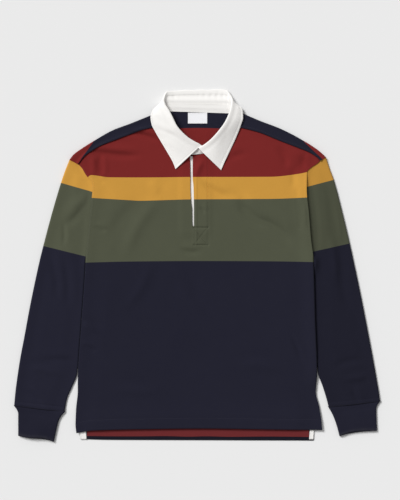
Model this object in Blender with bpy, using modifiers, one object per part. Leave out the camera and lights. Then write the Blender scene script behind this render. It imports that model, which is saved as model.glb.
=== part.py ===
"""Long-sleeved rugby-style polo shirt, laid flat on its back.

+X runs to the photo's right, +Y up the shirt towards the collar, +Z up from the surface that the
shirt lies on. Every piece is a sheet of cloth, modelled as its middle surface and given its wall by
Solidify. All sizes below are millimetres on the real shirt; the meshes are written in metres.
"""
import bpy
import numpy as np

MM = 0.001

# Cloth
JERSEY = 1.6            # wall of the body and sleeves, a heavy cotton jersey
COLLAR_CLOTH = 1.6      # woven collar, two layers pressed together
RIB = 2.0               # rib of the cuffs
TAPE = 1.0              # twill tapes, under-placket and label
SEAM = 0.4              # gap between two pieces that are sewn edge to edge
SIDE_SEAM = 1.1         # gap between the middles of the two edges where a fold closes them
LAYER = 0.3             # air between two layers that lie on each other

# Where the layers lie: heights of the middle of each wall
FLOOR = JERSEY / 2
RESTING = FLOOR + JERSEY + LAYER
ON_BACK = JERSEY + LAYER + TAPE / 2

# Folds
FOLD_REACH = 3.0        # how far in from its edge a fold is round
SIDE_SPREAD = 26.0      # how far in from the side fold the panel stays lifted
SHOULDER_SPREAD = 22.0
SHOULDER_LIFT = 4.4
SHOULDER_SLANT = 0.9    # distance to a shoulder fold for each millimetre straight down from it
NECK_LIFT = 3.0         # the collar presses the shoulder fold down near the neck
SHOULDER_RISE = (100, 160)  # distances from the middle between which that pressing ends
HEM_LIFT = 1.7          # the front hem lies on the tape of the back hem
HEM_SPREAD = 40.0
PLACKET_LIFT = 1.6      # the front lies on the under-placket
PLACKET_LEFT = (-50, -34)   # it climbs onto the under-placket between these places
PLACKET_RIGHT = (23, 40)    # comes down again beyond it
PLACKET_LOW = (60, 84)      # and comes down below its end
SLEEVE_LIFT = 3.4
SLEEVE_SPREAD = 20.0
INNER_SHARE = 0.75      # the sleeve's inner fold stands this much as high as its outer one


def table(names, *rows):
    """One array for each named column."""
    return dict(zip(names.split(), np.array(rows, float).T))


# Left and right edges of the body, from the front hem to the shoulder seam, at the middle of the wall
FRONT_LEFT = table(
    "y x",
    (-401.5, -289.9), (-381.0, -292.0), (-347.0, -291.0), (-301.0, -286.6), (-256.0, -285.8),
    (-130.0, -277.2), (-4.0, -268.4), (30.0, -266.4), (85.2, -260.9), (164.4, -253.0),
    (186.0, -251.3), (202.8, -254.2), (211.2, -262.6), (221.5, -270.0), (232.3, -276.0),
    (242.4, -285.4))
FRONT_RIGHT = table(
    "y x",
    (-394.1, 299.0), (-370.0, 296.8), (-339.6, 292.0), (-301.0, 283.6), (-256.0, 286.4),
    (-130.0, 282.0), (4.0, 278.1), (30.0, 276.6), (61.2, 273.1), (128.4, 268.1),
    (181.2, 263.0), (223.4, 263.8), (235.4, 274.1), (243.4, 286.1), (250.8, 294.2))
TIP_LEFT = (-306.3, 252.8)
TIP_RIGHT = (307.7, 258.8)

# Edges of the back below the side vents, where it lies inside the front's edges
VENT_TOP = -300.0
VENT_JOIN = VENT_TOP - 5                    # the back takes over the front's edge from here up
SIDE_CLOSES = (VENT_TOP - 2, VENT_TOP + 20)   # the layers come together above the vent
ARM_OPENS = (5.0, 30.0)                     # and part again at the armhole
BACK_VENT = table(
    "y left right",
    (-418.0, -280.6, 278.6), (-380.0, -283.0, 281.0), (-340.0, -284.6, 282.6))

# Hems, from left to right
FRONT_HEM = table(
    "x y",
    (-289.9, -401.5), (-248.2, -394.8), (-113.8, -391.4), (13.4, -390.0), (150.2, -391.9),
    (299.0, -394.1))
BACK_HEM = -418.0

# Seam between the front and the strip of the back that rolls over the shoulder
SEAM_LEFT = table(
    "x y",
    (-285.4, 242.4), (-276.0, 256.0), (-266.0, 267.0), (-251.8, 276.5), (-237.4, 285.4),
    (-223.0, 292.0), (-194.2, 303.0), (-165.4, 314.0), (-136.6, 324.5), (-111.4, 331.0),
    (-84.0, 336.0))
SEAM_RIGHT = table(
    "x y",
    (84.0, 336.0), (109.4, 330.5), (150.2, 319.5), (185.0, 305.5), (213.8, 294.0),
    (242.6, 283.0), (266.0, 273.5), (284.0, 262.0), (294.2, 250.8))
FRONT_NECK = table(
    "x y",
    (-84.0, 336.0), (-80.0, 325.0), (-70.0, 306.5), (-54.0, 287.6), (-36.0, 274.2),
    (-18.2, 267.0), (-10.6, 265.2), (0.0, 265.2), (10.0, 266.8), (24.0, 270.2), (46.0, 280.8),
    (65.0, 299.6), (77.5, 321.0), (84.0, 336.0))

# Top of the back: the shoulder folds, with the neckline between them
BACK_TOP = table(
    "x y",
    (-306.3, 252.8), (-281.8, 274.5), (-248.2, 298.0), (-202.6, 324.4), (-161.8, 338.8),
    (-111.4, 359.2), (-90.0, 368.4), (-76.0, 374.2), (-60.0, 376.0), (0.0, 375.2),
    (60.0, 374.8), (78.0, 374.0), (92.0, 372.0), (111.8, 365.2), (150.2, 347.2),
    (195.8, 330.6), (232.8, 310.7), (251.0, 298.0), (277.4, 278.8), (307.7, 258.8))
FOLD_FROM = 76.0        # the shoulder fold starts this far from the middle of the neck
FOLD_FULL = 88.0        # and is fully rolled over from here

# Share of the way up from the front hem to the shoulder seam, a row of the panels at each
ROWS_BELOW_ARM = (0.0, 0.02, 0.06, 0.11, 0.155, 0.185, 0.25, 0.36, 0.48)
UNDERARM = 0.618
SLIT_ROW = 0.737
ROWS_AT_ARM = (UNDERARM, 0.632, 0.655, 0.69, SLIT_ROW, 0.79, 0.84, 0.88, 0.912, 0.935, 0.951,
               0.966, 0.983, 1.0)
FRONT_ROWS = np.array(ROWS_BELOW_ARM + ROWS_AT_ARM)

# Distances in from an edge at which a fold has its points
FOLD_STEPS = np.array((0.0, 0.9, 3.0, 10.0))
NARROW = 80.0           # on a tube narrower than this they draw closer together
MIDDLE = np.array((0.5,))
TUBE_TOP = np.array((0.4, 0.7))     # shares of a sleeve's width, between the steps at its folds
SHOULDER_COLUMNS = 4
NECK_COLUMNS_LEFT = (-78.0, -66.0, -50.0, -33.0)
NECK_COLUMNS_RIGHT = (6.0, 24.0, 43.0, 60.0, 75.0)
NECK_COLUMNS_BACK = (-76.0, -60.0, -30.0, 0.0, 30.0, 60.0, 76.0)
LEFT_REACH = (0.05, 0.34)   # shares of the width over which columns stop following the left edge
RIGHT_REACH = (0.66, 0.95)  # and over which they start to follow the right one

# Shares of the way from the shoulder fold down to the seam, a row of the strip at each
STRIP_STEPS = np.array((0.0, 0.04, 0.12, 0.34, 0.64, 1.0))
NECK_CLEAR = 2.0        # the strip stops this far short of the neckline

# The slit of the placket
SLIT_X = -10.6
SLIT_TOP_LEFT = -18.2
SLIT_TOP_RIGHT = -10.6

# How much the side edge is lifted above the resting height
SIDE_LIFT = table(
    "y lift",
    (-401.0, 1.7), (-315.0, 1.7), (-280.0, 4.2), (0.0, 4.2), (60.0, 3.6), (200.0, 3.0),
    (250.0, 2.0))

# Sleeves: the outer fold beside each height of the inner edge, then the inner fold on its own
SLEEVE_LEFT = table(
    "inner_x inner_y outer_x outer_y",
    (-285.4, 242.4, -306.3, 252.8), (-263.8, 210.0, -314.6, 226.8),
    (-252.2, 176.4, -324.2, 198.0), (-256.6, 104.4, -345.8, 123.6),
    (-267.8, 21.6, -367.4, 46.8), (-269.8, -5.8, -375.5, 15.6),
    (-275.8, -94.8, -397.1, -82.8), (-282.8, -190.8, -414.9, -174.0),
    (-289.3, -259.7, -424.0, -222.0), (-302.6, -294.0, -430.7, -265.2),
    (-313.4, -320.4, -436.0, -306.0), (-319.1, -350.9, -437.2, -336.2))
SLEEVE_RIGHT = table(
    "inner_x inner_y outer_x outer_y",
    (294.2, 250.8, 307.7, 258.8), (266.6, 228.0, 316.2, 232.8),
    (263.5, 187.2, 324.6, 205.2), (269.3, 111.6, 343.4, 128.4),
    (275.8, 32.4, 362.1, 52.8), (279.4, 4.0, 370.2, 18.0),
    (284.6, -94.8, 391.8, -82.8), (286.8, -186.0, 412.5, -186.0),
    (289.6, -254.4, 423.5, -241.2), (301.8, -291.6, 430.2, -279.6),
    (309.8, -318.0, 435.0, -308.4), (315.5, -340.1, 437.0, -325.7))
SLEEVE_ROWS_BELOW_ARM = 9
UNDERARM_Y = 4.6        # the sleeve is a closed tube below this height
TUBE_CLOSES = (-30, 10)     # heights between which its inner fold stands up
CROTCH = (25.0, 50.0)   # heights between which the sleeve draws away from the closing side
ARMHOLE_SPREAD = 12.0   # how far from the armhole the sleeve keeps the body's height
TIP_ROWS = 1.2          # and how many rows from the shoulder tip
TIP_OUT = 0.45          # gap at the shoulder tip, where both pieces turn over
TIP_DOWN = 0.9
LEAVES_BODY = (225.0, 255.0)    # depths between which the sleeve leaves the side of the body

CUFF_LEFT = table(
    "outer_x outer_y inner_x inner_y",
    (-436.0, -337.9, -320.4, -352.8), (-430.5, -345.6, -327.9, -361.7),
    (-428.8, -356.4, -333.6, -373.2), (-428.8, -380.4, -338.9, -394.8),
    (-428.8, -407.8, -344.7, -422.6))
CUFF_RIGHT = table(
    "outer_x outer_y inner_x inner_y",
    (436.3, -326.8, 317.6, -341.2), (430.8, -334.3, 324.5, -350.4),
    (428.1, -344.4, 330.3, -361.2), (428.6, -368.4, 338.4, -382.8),
    (430.0, -395.8, 345.6, -409.2))
CUFF_LIFT = 2.6
CUFF_SPREAD = 16.0

# Collar, a row for each section from the left leaf's front edge round the neck to the right one's.
# "seam" is how far inside the fold the stand ends; "back" is how far the section lies back flat.
COLLAR = table(
    "neck_x neck_y neck_z fold_x fold_y fold_z edge_x edge_y edge_z seam back",
    (-10.6, 273.6, 4.0, 11.5, 289.4, 13.5, -52.3, 231.1, 5.4, 7.0, 0.0),
    (-17.0, 268.6, 3.8, 0.2, 293.5, 15.5, -60.5, 247.0, 5.4, 7.0, 0.0),
    (-34.6, 274.8, 3.6, -20.2, 305.0, 19.0, -75.8, 273.8, 5.4, 7.0, 0.0),
    (-52.6, 288.0, 3.6, -35.8, 318.5, 22.0, -91.0, 300.2, 5.4, 7.0, 0.0),
    (-68.6, 306.4, 3.6, -48.5, 333.6, 23.5, -102.7, 320.9, 5.8, 7.0, 0.0),
    (-79.0, 325.2, 3.8, -58.6, 354.0, 23.0, -110.4, 338.2, 7.6, 7.0, 0.0),
    (-82.8, 344.4, 4.4, -67.4, 371.3, 21.0, -111.8, 354.0, 9.0, 8.0, 0.0),
    (-83.2, 358.8, 5.4, -76.0, 385.2, 18.0, -107.5, 369.4, 8.5, 9.0, 0.1),
    (-82.0, 369.6, 5.4, -79.4, 397.2, 14.0, -98.6, 379.4, 4.5, 11.0, 0.35),
    (-78.4, 375.8, 3.6, -78.0, 409.4, 9.0, -86.4, 382.6, 1.6, 13.0, 0.65),
    (-68.6, 376.9, 1.8, -71.5, 418.2, 4.6, -70.9, 382.4, 0.8, 15.0, 0.9),
    (-46.6, 376.6, 1.1, -49.0, 419.8, 2.1, -46.6, 382.4, 0.8, 16.0, 1.0),
    (1.4, 375.8, 1.1, 1.4, 421.2, 2.1, 1.4, 382.0, 0.8, 16.0, 1.0),
    (44.6, 375.5, 1.1, 44.6, 422.2, 2.1, 44.6, 382.0, 0.8, 16.0, 1.0),
    (68.6, 375.2, 1.8, 69.8, 420.2, 4.6, 71.0, 382.2, 0.8, 15.0, 0.9),
    (78.4, 375.6, 3.6, 77.3, 410.2, 9.0, 86.6, 383.0, 1.6, 13.0, 0.65),
    (82.0, 369.6, 5.4, 81.4, 397.2, 14.0, 99.8, 381.6, 4.5, 11.0, 0.35),
    (83.4, 358.8, 5.4, 80.2, 382.8, 18.0, 108.5, 372.0, 8.5, 9.0, 0.1),
    (82.6, 343.2, 4.4, 73.9, 362.2, 21.0, 111.4, 354.0, 9.4, 8.0, 0.0),
    (76.6, 322.8, 3.8, 62.9, 340.8, 23.0, 105.1, 333.6, 7.8, 7.0, 0.0),
    (64.4, 301.2, 3.6, 45.8, 318.0, 23.5, 92.6, 304.8, 5.8, 7.0, 0.0),
    (45.4, 282.0, 3.6, 29.3, 300.2, 20.5, 75.8, 268.8, 5.4, 7.0, 0.0),
    (24.2, 271.4, 3.8, 16.3, 287.5, 17.0, 64.6, 246.0, 5.4, 7.0, 0.0),
    (9.8, 268.0, 4.2, 4.3, 280.6, 15.5, 56.6, 228.7, 5.4, 7.0, 0.0))
STAND_START = 1.3       # the left end of the stand stops short of the right one's
STAND_TAB = table(      # the right end of the stand runs on past the leaf, over the placket
    "neck_x neck_y neck_z top_x top_y top_z",
    (0.0, 266.8, 4.2, -1.0, 277.6, 8.6),
    (-11.5, 266.2, 4.2, -10.8, 277.4, 8.2))
CORNER_GAP = 0.6        # added on each side of the seam where the collar turns the corner
CORNER_EARLY = 0.04     # how much ahead of the corner, as a share of lying back
STAND_KNEE = 3.0        # the stand climbs from the neckline over the fall within this length
FALL_TURN = 5.0         # length of the fold's turn on each side of it
LEAF_TURN = 2.1         # radius of the turn on the leaves
LEAF_TURN_DROP = 1.1    # how far the middle of the turn lies below the fold there
BACK_TURN = 1.25        # radius of the turn where the collar lies back
STAND_OVER_FALL = FLOOR + 2 * BACK_TURN
TURN_ANGLES = np.radians((0, 45, 90, 135, 180))
COLLAR_STEP = 0.6       # sections are read this often from the table
LEG_SHARES = (0.0, 0.35, 0.7, 1.0)  # points of a section from its turn to the leaf's edge

# Flat pieces on the inside of the back
NECK_TAPE_X = (-67.0, 67.0)
NECK_TAPE = table("y z", (367.0, ON_BACK), (373.4, 2.8), (378.6, 5.1), (387.8, 5.1))
TAPE_POINTS = 7         # points along a piece, by its length
LABEL_POINTS = 3
BINDING_POINTS = 5
LABEL_X = (-22.6, 23.4)
LABEL_Y = (340.6, 366.6)
HEM_TAPE_X = (-264.8, 262.6)
HEM_TAPE_Y = (-411.6, -384.0)
VENT_TAPE_WIDTH = 14.6
VENT_TAPE_Y = (-417.0, -316.0)

# Under-placket, between the front and the back
UNDER_PLACKET_X = (-24.0, 8.0)
UNDER_PLACKET_Y = (88.0, 262.0)

# Colours as seen, linear red, green, blue
NAVY = (0.018, 0.017, 0.031)
RED = (0.195, 0.022, 0.021)
WHITE = (0.86, 0.85, 0.83)
CLOTH_ROUGHNESS = 0.9


def fair(knots, values, at):
    """Smooth curve through the knots that never swings past them, read at the places given."""
    gaps = np.diff(knots)
    climbs = np.diff(values) / gaps
    before, after = climbs[:-1], climbs[1:]
    same_way = before * after > 0
    slopes = np.concatenate([climbs[:1], np.zeros(len(before)), climbs[-1:]])
    slopes[1:-1][same_way] = (2 * before * after)[same_way] / (before + after)[same_way]
    at = np.clip(np.asarray(at, float), knots[0], knots[-1])
    span = np.clip(np.searchsorted(knots, at, side="right") - 1, 0, len(gaps) - 1)
    t = (at - knots[span]) / gaps[span]
    return ((1 + 2 * t) * (1 - t) ** 2 * values[span] + t * (1 - t) ** 2 * gaps[span] * slopes[span]
            + t * t * (3 - 2 * t) * values[span + 1]
            - t * t * (1 - t) * gaps[span] * slopes[span + 1])


def ramp(value, start, end):
    """Climbs smoothly from 0 at the start to 1 at the end."""
    share = np.clip((value - start) / (end - start), 0, 1)
    return share * share * (3 - 2 * share)


def fading(distance, spread):
    """1 at no distance, falling softly to 0."""
    return np.exp(-(distance / spread) ** 2)


def rounded(distance):
    """Rise of a quarter circle over the reach of a fold."""
    return np.sqrt(1 - (1 - np.clip(distance / FOLD_REACH, 0, 1)) ** 2)


# Body outline ---------------------------------------------------------------------------------

def edge(side, y, panel="front"):
    """X of the body's side edge at a height; above the shoulder seam it runs straight to the tip."""
    rows, tip = (FRONT_LEFT, TIP_LEFT) if side == "left" else (FRONT_RIGHT, TIP_RIGHT)
    heights, places = rows["y"], rows["x"]
    if panel == "back":
        above = heights >= VENT_JOIN
        heights = np.concatenate([BACK_VENT["y"], heights[above]])
        places = np.concatenate([BACK_VENT[side], places[above]])
    x = fair(heights, places, y)
    seam_x, seam_y = rows["x"][-1], rows["y"][-1]
    beyond = np.interp(y, (seam_y, tip[1]), (seam_x, tip[0]))
    return np.where(np.asarray(y) > seam_y, beyond, x)


def back_top(x):
    return fair(BACK_TOP["x"], BACK_TOP["y"], x)


def front_top(x):
    """Y of the shoulder seams and of the front neckline between them."""
    return np.where(x < FRONT_NECK["x"][0], fair(SEAM_LEFT["x"], SEAM_LEFT["y"], x),
                    np.where(x > FRONT_NECK["x"][-1], fair(SEAM_RIGHT["x"], SEAM_RIGHT["y"], x),
                             fair(FRONT_NECK["x"], FRONT_NECK["y"], x)))


def side_levels(side, shares):
    rows = FRONT_LEFT if side == "left" else FRONT_RIGHT
    return rows["y"][0] + shares * (rows["y"][-1] - rows["y"][0])


# Heights of the two layers --------------------------------------------------------------------

def closing(y):
    """1 where the side is folded, 0 in the vents and along the armholes."""
    return ramp(y, *SIDE_CLOSES) * (1 - ramp(y, *ARM_OPENS))


def open_height(x, y, inside):
    """Height of the body's upper layer away from its folds."""
    below_fold = SHOULDER_SLANT * (back_top(x) - y)
    shoulder = NECK_LIFT + (SHOULDER_LIFT - NECK_LIFT) * ramp(np.abs(x), *SHOULDER_RISE)
    placket = ramp(x, *PLACKET_LEFT) * (1 - ramp(x, *PLACKET_RIGHT)) * ramp(y, *PLACKET_LOW)
    return (RESTING + fair(SIDE_LIFT["y"], SIDE_LIFT["lift"], y) * fading(inside, SIDE_SPREAD)
            + shoulder * fading(below_fold, SHOULDER_SPREAD)
            + HEM_LIFT * fading(y - fair(FRONT_HEM["x"], FRONT_HEM["y"], x), HEM_SPREAD)
            + PLACKET_LIFT * placket)


def layers(opened, open_share, apart=0.0):
    """Heights of the two layers, drawn together at half height where a fold closes them."""
    middle = (opened + FLOOR) / 2
    return (middle + (opened - middle) * open_share + apart,
            middle + (FLOOR - middle) * open_share - apart)


def body_heights(x, y, panel="front"):
    """Heights of the upper and lower layer of the body at a place."""
    inside = np.minimum(x - edge("left", y, panel), edge("right", y, panel) - x)
    below_fold = SHOULDER_SLANT * (back_top(x) - y)
    fold = ramp(np.abs(x), FOLD_FROM, FOLD_FULL)
    side_closed = closing(y) * (1 - rounded(inside))
    open_share = (1 - side_closed) * (1 - fold * (1 - rounded(below_fold)))
    return layers(open_height(x, y, inside), open_share, SIDE_SEAM / 2 * side_closed)


# Meshes ---------------------------------------------------------------------------------------

def grid(rows, columns):
    """Quads of a grid of points numbered row by row."""
    return [(r * columns + c, r * columns + c + 1, (r + 1) * columns + c + 1, (r + 1) * columns + c)
            for r in range(rows - 1) for c in range(columns - 1)]


def cloth(name, points, faces, wall, colour, even=True):
    """A sheet through the points, given its wall, with its own material."""
    mesh = bpy.data.meshes.new(name)
    mesh.from_pydata((np.asarray(points) * MM).tolist(), [], faces)
    mesh.validate()
    sheet = bpy.data.objects.new(name, mesh)
    shirt.objects.link(sheet)
    solid = sheet.modifiers.new("Wall", "SOLIDIFY")
    solid.thickness = wall * MM
    solid.offset = 0
    solid.use_even_offset = even
    material = bpy.data.materials.new(name)
    material.use_nodes = True
    shader = material.node_tree.nodes["Principled BSDF"]
    shader.inputs["Base Color"].default_value = (*colour, 1)
    shader.inputs["Roughness"].default_value = CLOTH_ROUGHNESS
    shader.inputs["Metallic"].default_value = 0
    mesh.materials.append(material)


def flat_piece(name, xs, ys, height, colour):
    """A rectangular piece of tape that lies at one height, or at a height for each y."""
    heights = np.broadcast_to(height, len(ys))
    points = [(x, y, z) for y, z in zip(ys, heights) for x in xs]
    cloth(name, points, grid(len(ys), len(xs)), TAPE, colour)


# Body -----------------------------------------------------------------------------------------

def shoulder_columns(start, end):
    """Columns close to the side edge, then evenly spaced to the neck."""
    way = np.sign(end - start)
    near = start + way * FOLD_STEPS
    return np.concatenate([near[:-1], np.linspace(near[-1], end, SHOULDER_COLUMNS + 1)])


def panel_points(columns, left_y, right_y, bottom, top, panel):
    """Points of a panel between its two side edges, its hem and its top line.

    Each column runs straight from hem to top; near the sides it follows the curved side edge.
    """
    share = (columns - columns[0]) / (columns[-1] - columns[0])
    with_left, with_right = 1 - ramp(share, *LEFT_REACH), ramp(share, *RIGHT_REACH)
    left_x, right_x = edge("left", left_y, panel), edge("right", right_y, panel)
    bottom_x = left_x[0] + share * (right_x[0] - left_x[0])
    points = []
    for low_left, low_right, left, right in zip(left_y, right_y, left_x, right_x):
        up = (low_left - left_y[0]) / (left_y[-1] - left_y[0])
        straight_left = left_x[0] + up * (columns[0] - left_x[0])
        straight_right = right_x[0] + up * (columns[-1] - right_x[0])
        straight_y = right_y[0] + up * (right_y[-1] - right_y[0])
        x = ((1 - up) * bottom_x + up * columns + with_left * (left - straight_left)
             + with_right * (right - straight_right))
        y = (1 - up) * bottom + up * top + with_right * (low_right - straight_y)
        points.append(np.column_stack([x, y]))
    return np.array(points)


def build_front():
    left = shoulder_columns(FRONT_LEFT["x"][-1], SEAM_LEFT["x"][-1])
    right = shoulder_columns(FRONT_RIGHT["x"][-1], SEAM_RIGHT["x"][0])[::-1]
    columns = np.concatenate([left, NECK_COLUMNS_LEFT, [SLIT_X], NECK_COLUMNS_RIGHT, right])
    share = (columns - columns[0]) / (columns[-1] - columns[0])
    hem_x = FRONT_LEFT["x"][0] + share * (FRONT_RIGHT["x"][0] - FRONT_LEFT["x"][0])
    hem = fair(FRONT_HEM["x"], FRONT_HEM["y"], hem_x)
    places = panel_points(columns, side_levels("left", FRONT_ROWS),
                          side_levels("right", FRONT_ROWS), hem, front_top(columns), "front")
    slit_column = len(left) + len(NECK_COLUMNS_LEFT)
    slit_row = list(FRONT_ROWS).index(SLIT_ROW)
    slit_share = np.linspace(0, 1, len(FRONT_ROWS) - slit_row)
    right_lip = places[slit_row + 1:, slit_column].copy()
    slit_end = places[slit_row, slit_column, 0]
    places[slit_row:, slit_column, 0] = slit_end + slit_share * (SLIT_TOP_LEFT - slit_end)
    right_lip[:, 0] = slit_end + slit_share[1:] * (SLIT_TOP_RIGHT - slit_end)
    places[-1, slit_column, 1] = front_top(SLIT_TOP_LEFT)
    places[-1, 0] = (FRONT_LEFT["x"][-1], FRONT_LEFT["y"][-1])
    flat = np.concatenate([places.reshape(-1, 2), right_lip])
    upper, _ = body_heights(flat[:, 0], flat[:, 1])
    faces = []
    for row, face in enumerate(grid(len(FRONT_ROWS), len(columns))):
        r, c = divmod(row, len(columns) - 1)
        if c == slit_column and r >= slit_row:
            lip = len(places) * len(columns) + r - slit_row
            face = (face[0] if r == slit_row else lip - 1, face[1], face[2], lip)
        faces.append(face)
    cloth("front", np.column_stack([flat, upper]), faces, JERSEY, NAVY)


def build_back():
    """The back, with the strips that roll over the shoulders to the forward seams."""
    left = shoulder_columns(TIP_LEFT[0], -FOLD_FULL)
    right = shoulder_columns(TIP_RIGHT[0], FOLD_FULL)[::-1]
    columns = np.concatenate([left, NECK_COLUMNS_BACK, right])
    levels = {}
    for side, tip in (("left", TIP_LEFT), ("right", TIP_RIGHT)):
        shared = side_levels(side, FRONT_ROWS[1:])
        near_tip = tip[1] - FOLD_STEPS[2::-1]
        halfway = (shared[-1] + near_tip[0]) / 2
        levels[side] = np.concatenate([[BACK_HEM], shared, [halfway], near_tip])
    rows = len(levels["left"])
    hem = np.full(len(columns), BACK_HEM)
    places = panel_points(columns, levels["left"], levels["right"], hem, back_top(columns), "back")
    _, lower = body_heights(places[..., 0], places[..., 1], "back")
    points = [np.column_stack([places.reshape(-1, 2), lower.ravel()])]
    faces = grid(rows, len(columns))
    count = len(columns)
    top_row = (rows - 1) * count
    seams = {"left": (SEAM_LEFT, shoulder_columns(FRONT_LEFT["x"][-1], SEAM_LEFT["x"][-1]), 0),
             "right": (SEAM_RIGHT, shoulder_columns(FRONT_RIGHT["x"][-1], SEAM_RIGHT["x"][0])[::-1],
                       count - len(right))}
    for side, (seam, stations, first_column) in seams.items():
        fold = places[-1, first_column:first_column + len(stations)]
        landing = np.column_stack([stations, fair(seam["x"], seam["y"], stations)])
        landing[:, 1] += SEAM
        neck_end = -1 if side == "left" else 0
        landing[neck_end, 0] += -NECK_CLEAR if side == "left" else NECK_CLEAR
        strip = fold[None] + STRIP_STEPS[1:, None, None] * (landing - fold)[None]
        upper, _ = body_heights(strip[..., 0], strip[..., 1], "back")
        start = sum(len(block) for block in points)
        points.append(np.column_stack([strip.reshape(-1, 2), upper.ravel()]))
        faces += strip_faces(top_row + first_column, start, len(STRIP_STEPS) - 1, len(stations))
    cloth("back", np.concatenate(points), faces, JERSEY, NAVY)


def strip_faces(fold_start, start, rows, columns):
    """Quads from a row of the panel's points on through the strip's own rows."""
    faces = []
    for row in range(rows):
        below = fold_start if row == 0 else start + (row - 1) * columns
        above = start + row * columns
        faces += [(below + c, below + c + 1, above + c + 1, above + c) for c in range(columns - 1)]
    return faces


# Sleeves --------------------------------------------------------------------------------------

def armhole_side(side, y, way):
    """Points beside the body's edge, clear of it: the sleeve's inner edge."""
    x = edge(side, y)
    slope = np.gradient(x, y)
    normal = np.column_stack([np.full(len(y), way), -way * slope])
    normal /= np.linalg.norm(normal, axis=1)[:, None]
    clear = SEAM + JERSEY * (1 - ramp(y, *CROTCH))
    return np.column_stack([x, y]) + normal * clear[:, None]


def across(width, from_outer, shares, from_inner):
    """Distances from the outer edge: a few near each edge and shares of the width between."""
    scale = np.minimum(1, width / NARROW)
    return np.concatenate([from_outer * scale, shares * width, width - from_inner[::-1] * scale])


def build_sleeve(side):
    way = -1 if side == "left" else 1
    rows = SLEEVE_LEFT if side == "left" else SLEEVE_RIGHT
    armhole_y = side_levels(side, np.array(ROWS_AT_ARM))[::-1]
    below_y = np.linspace(armhole_y[-1], rows["inner_y"][-1], SLEEVE_ROWS_BELOW_ARM + 1)[1:]
    inner_y = np.concatenate([armhole_y, below_y])
    depth = -inner_y
    outer = np.column_stack([fair(-rows["inner_y"], rows[c], depth) for c in ("outer_x", "outer_y")])
    inner = armhole_side(side, inner_y, way)
    leaving = ramp(depth, *LEAVES_BODY)
    free_x = fair(-rows["inner_y"], rows["inner_x"], depth)
    inner[:, 0] += (free_x - inner[:, 0]) * leaving
    outer[0] += np.array((way * TIP_OUT, -TIP_DOWN))
    points, welded = [], []
    for row, (out, inn) in enumerate(zip(outer, inner)):
        width = np.linalg.norm(inn - out)
        top = across(width, FOLD_STEPS, TUBE_TOP, FOLD_STEPS)
        bottom = across(width, FOLD_STEPS[1:3], MIDDLE, FOLD_STEPS[:3])
        for distance, layer in ((top[::-1], 0), (bottom, 1)):
            place = out + (inn - out) * (distance / width)[:, None]
            height = sleeve_heights(place, distance, width, inner_y[row], row)[layer]
            points.append(np.column_stack([place, height]))
        welded.append(inner_y[row] <= armhole_y[-1])
    count = len(top) + len(bottom)
    faces = grid(len(outer), count)
    flat = np.concatenate(points)
    for row, closed in enumerate(welded):
        if closed:
            first, last = row * count, (row + 1) * count - 1
            faces = [tuple(first if corner == last else corner for corner in face)
                     for face in faces]
    if side == "right":
        faces = [face[::-1] for face in faces]
    flat, faces = without_unused(flat, faces)
    cloth("sleeve_" + side, flat, faces, JERSEY, NAVY)


def sleeve_heights(place, distance, width, inner_y, row):
    """Upper and lower layer of a sleeve; at the armhole they meet the body's layers."""
    inside = width - distance
    open_inside = 1 - ramp(inner_y, *TUBE_CLOSES)
    own = (RESTING + SLEEVE_LIFT * fading(distance, SLEEVE_SPREAD)
           + INNER_SHARE * SLEEVE_LIFT * fading(inside, SLEEVE_SPREAD) * open_inside)
    body = open_height(place[:, 0], place[:, 1], np.zeros(len(place)))
    body_share = np.maximum((1 - open_inside) * fading(inside, ARMHOLE_SPREAD),
                            fading(row, TIP_ROWS))
    closed = closing(inner_y) if inner_y > 0 else 1.0
    side_closed = closed * (1 - rounded(inside))
    return layers(own + (body - own) * body_share, rounded(distance) * (1 - side_closed),
                  SIDE_SEAM / 2 * side_closed * (inner_y > UNDERARM_Y))


def without_unused(points, faces):
    """Drops the points that no face uses, and the faces that closing has left without area."""
    used = sorted({corner for face in faces for corner in face})
    number = {old: new for new, old in enumerate(used)}
    return points[used], [tuple(number[c] for c in dict.fromkeys(face)) for face in faces]


def build_cuff(side):
    rows = CUFF_LEFT if side == "left" else CUFF_RIGHT
    count = len(rows["outer_x"])
    points = []
    for row in range(count):
        out = np.array((rows["outer_x"][row], rows["outer_y"][row]))
        inn = np.array((rows["inner_x"][row], rows["inner_y"][row]))
        width = np.linalg.norm(inn - out)
        top = across(width, FOLD_STEPS, MIDDLE, FOLD_STEPS)
        bottom = across(width, FOLD_STEPS[1:3], MIDDLE, FOLD_STEPS[1:3])
        for distance, layer in ((top[::-1], 0), (bottom, 1)):
            place = out + (inn - out) * (distance / width)[:, None]
            inside = width - distance
            opened = (1.5 * RIB + 2 * LAYER + CUFF_LIFT * fading(distance, CUFF_SPREAD)
                      + CUFF_LIFT * fading(inside, CUFF_SPREAD))
            middle = (opened + RIB / 2) / 2
            open_share = rounded(distance) * rounded(inside)
            height = middle + ((opened, RIB / 2)[layer] - middle) * open_share
            points.append(np.column_stack([place, height]))
    ring = len(top) + len(bottom)
    faces = [(r * ring + c, r * ring + (c + 1) % ring, (r + 1) * ring + (c + 1) % ring,
              (r + 1) * ring + c) for r in range(count - 1) for c in range(ring)]
    if side == "right":
        faces = [face[::-1] for face in faces]
    cloth("cuff_" + side, np.concatenate(points), faces, RIB, NAVY)


# Collar ---------------------------------------------------------------------------------------

def collar_sections(at):
    """Neck, fold and edge points of the collar and its two shares at places along the table."""
    places = np.arange(len(COLLAR["seam"]), dtype=float)
    column = {name: fair(places, values, at) for name, values in COLLAR.items()}
    neck, fold, outer = (np.column_stack([column[end + axis] for axis in ("_x", "_y", "_z")])
                         for end in ("neck", "fold", "edge"))
    outward = (outer - fold)[:, :2]
    outward /= np.linalg.norm(outward, axis=1)[:, None]
    fold[:, :2] += outward * COLLAR_CLOTH / 2
    return neck, fold, outer, column["seam"][:, None], column["back"][:, None]


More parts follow.
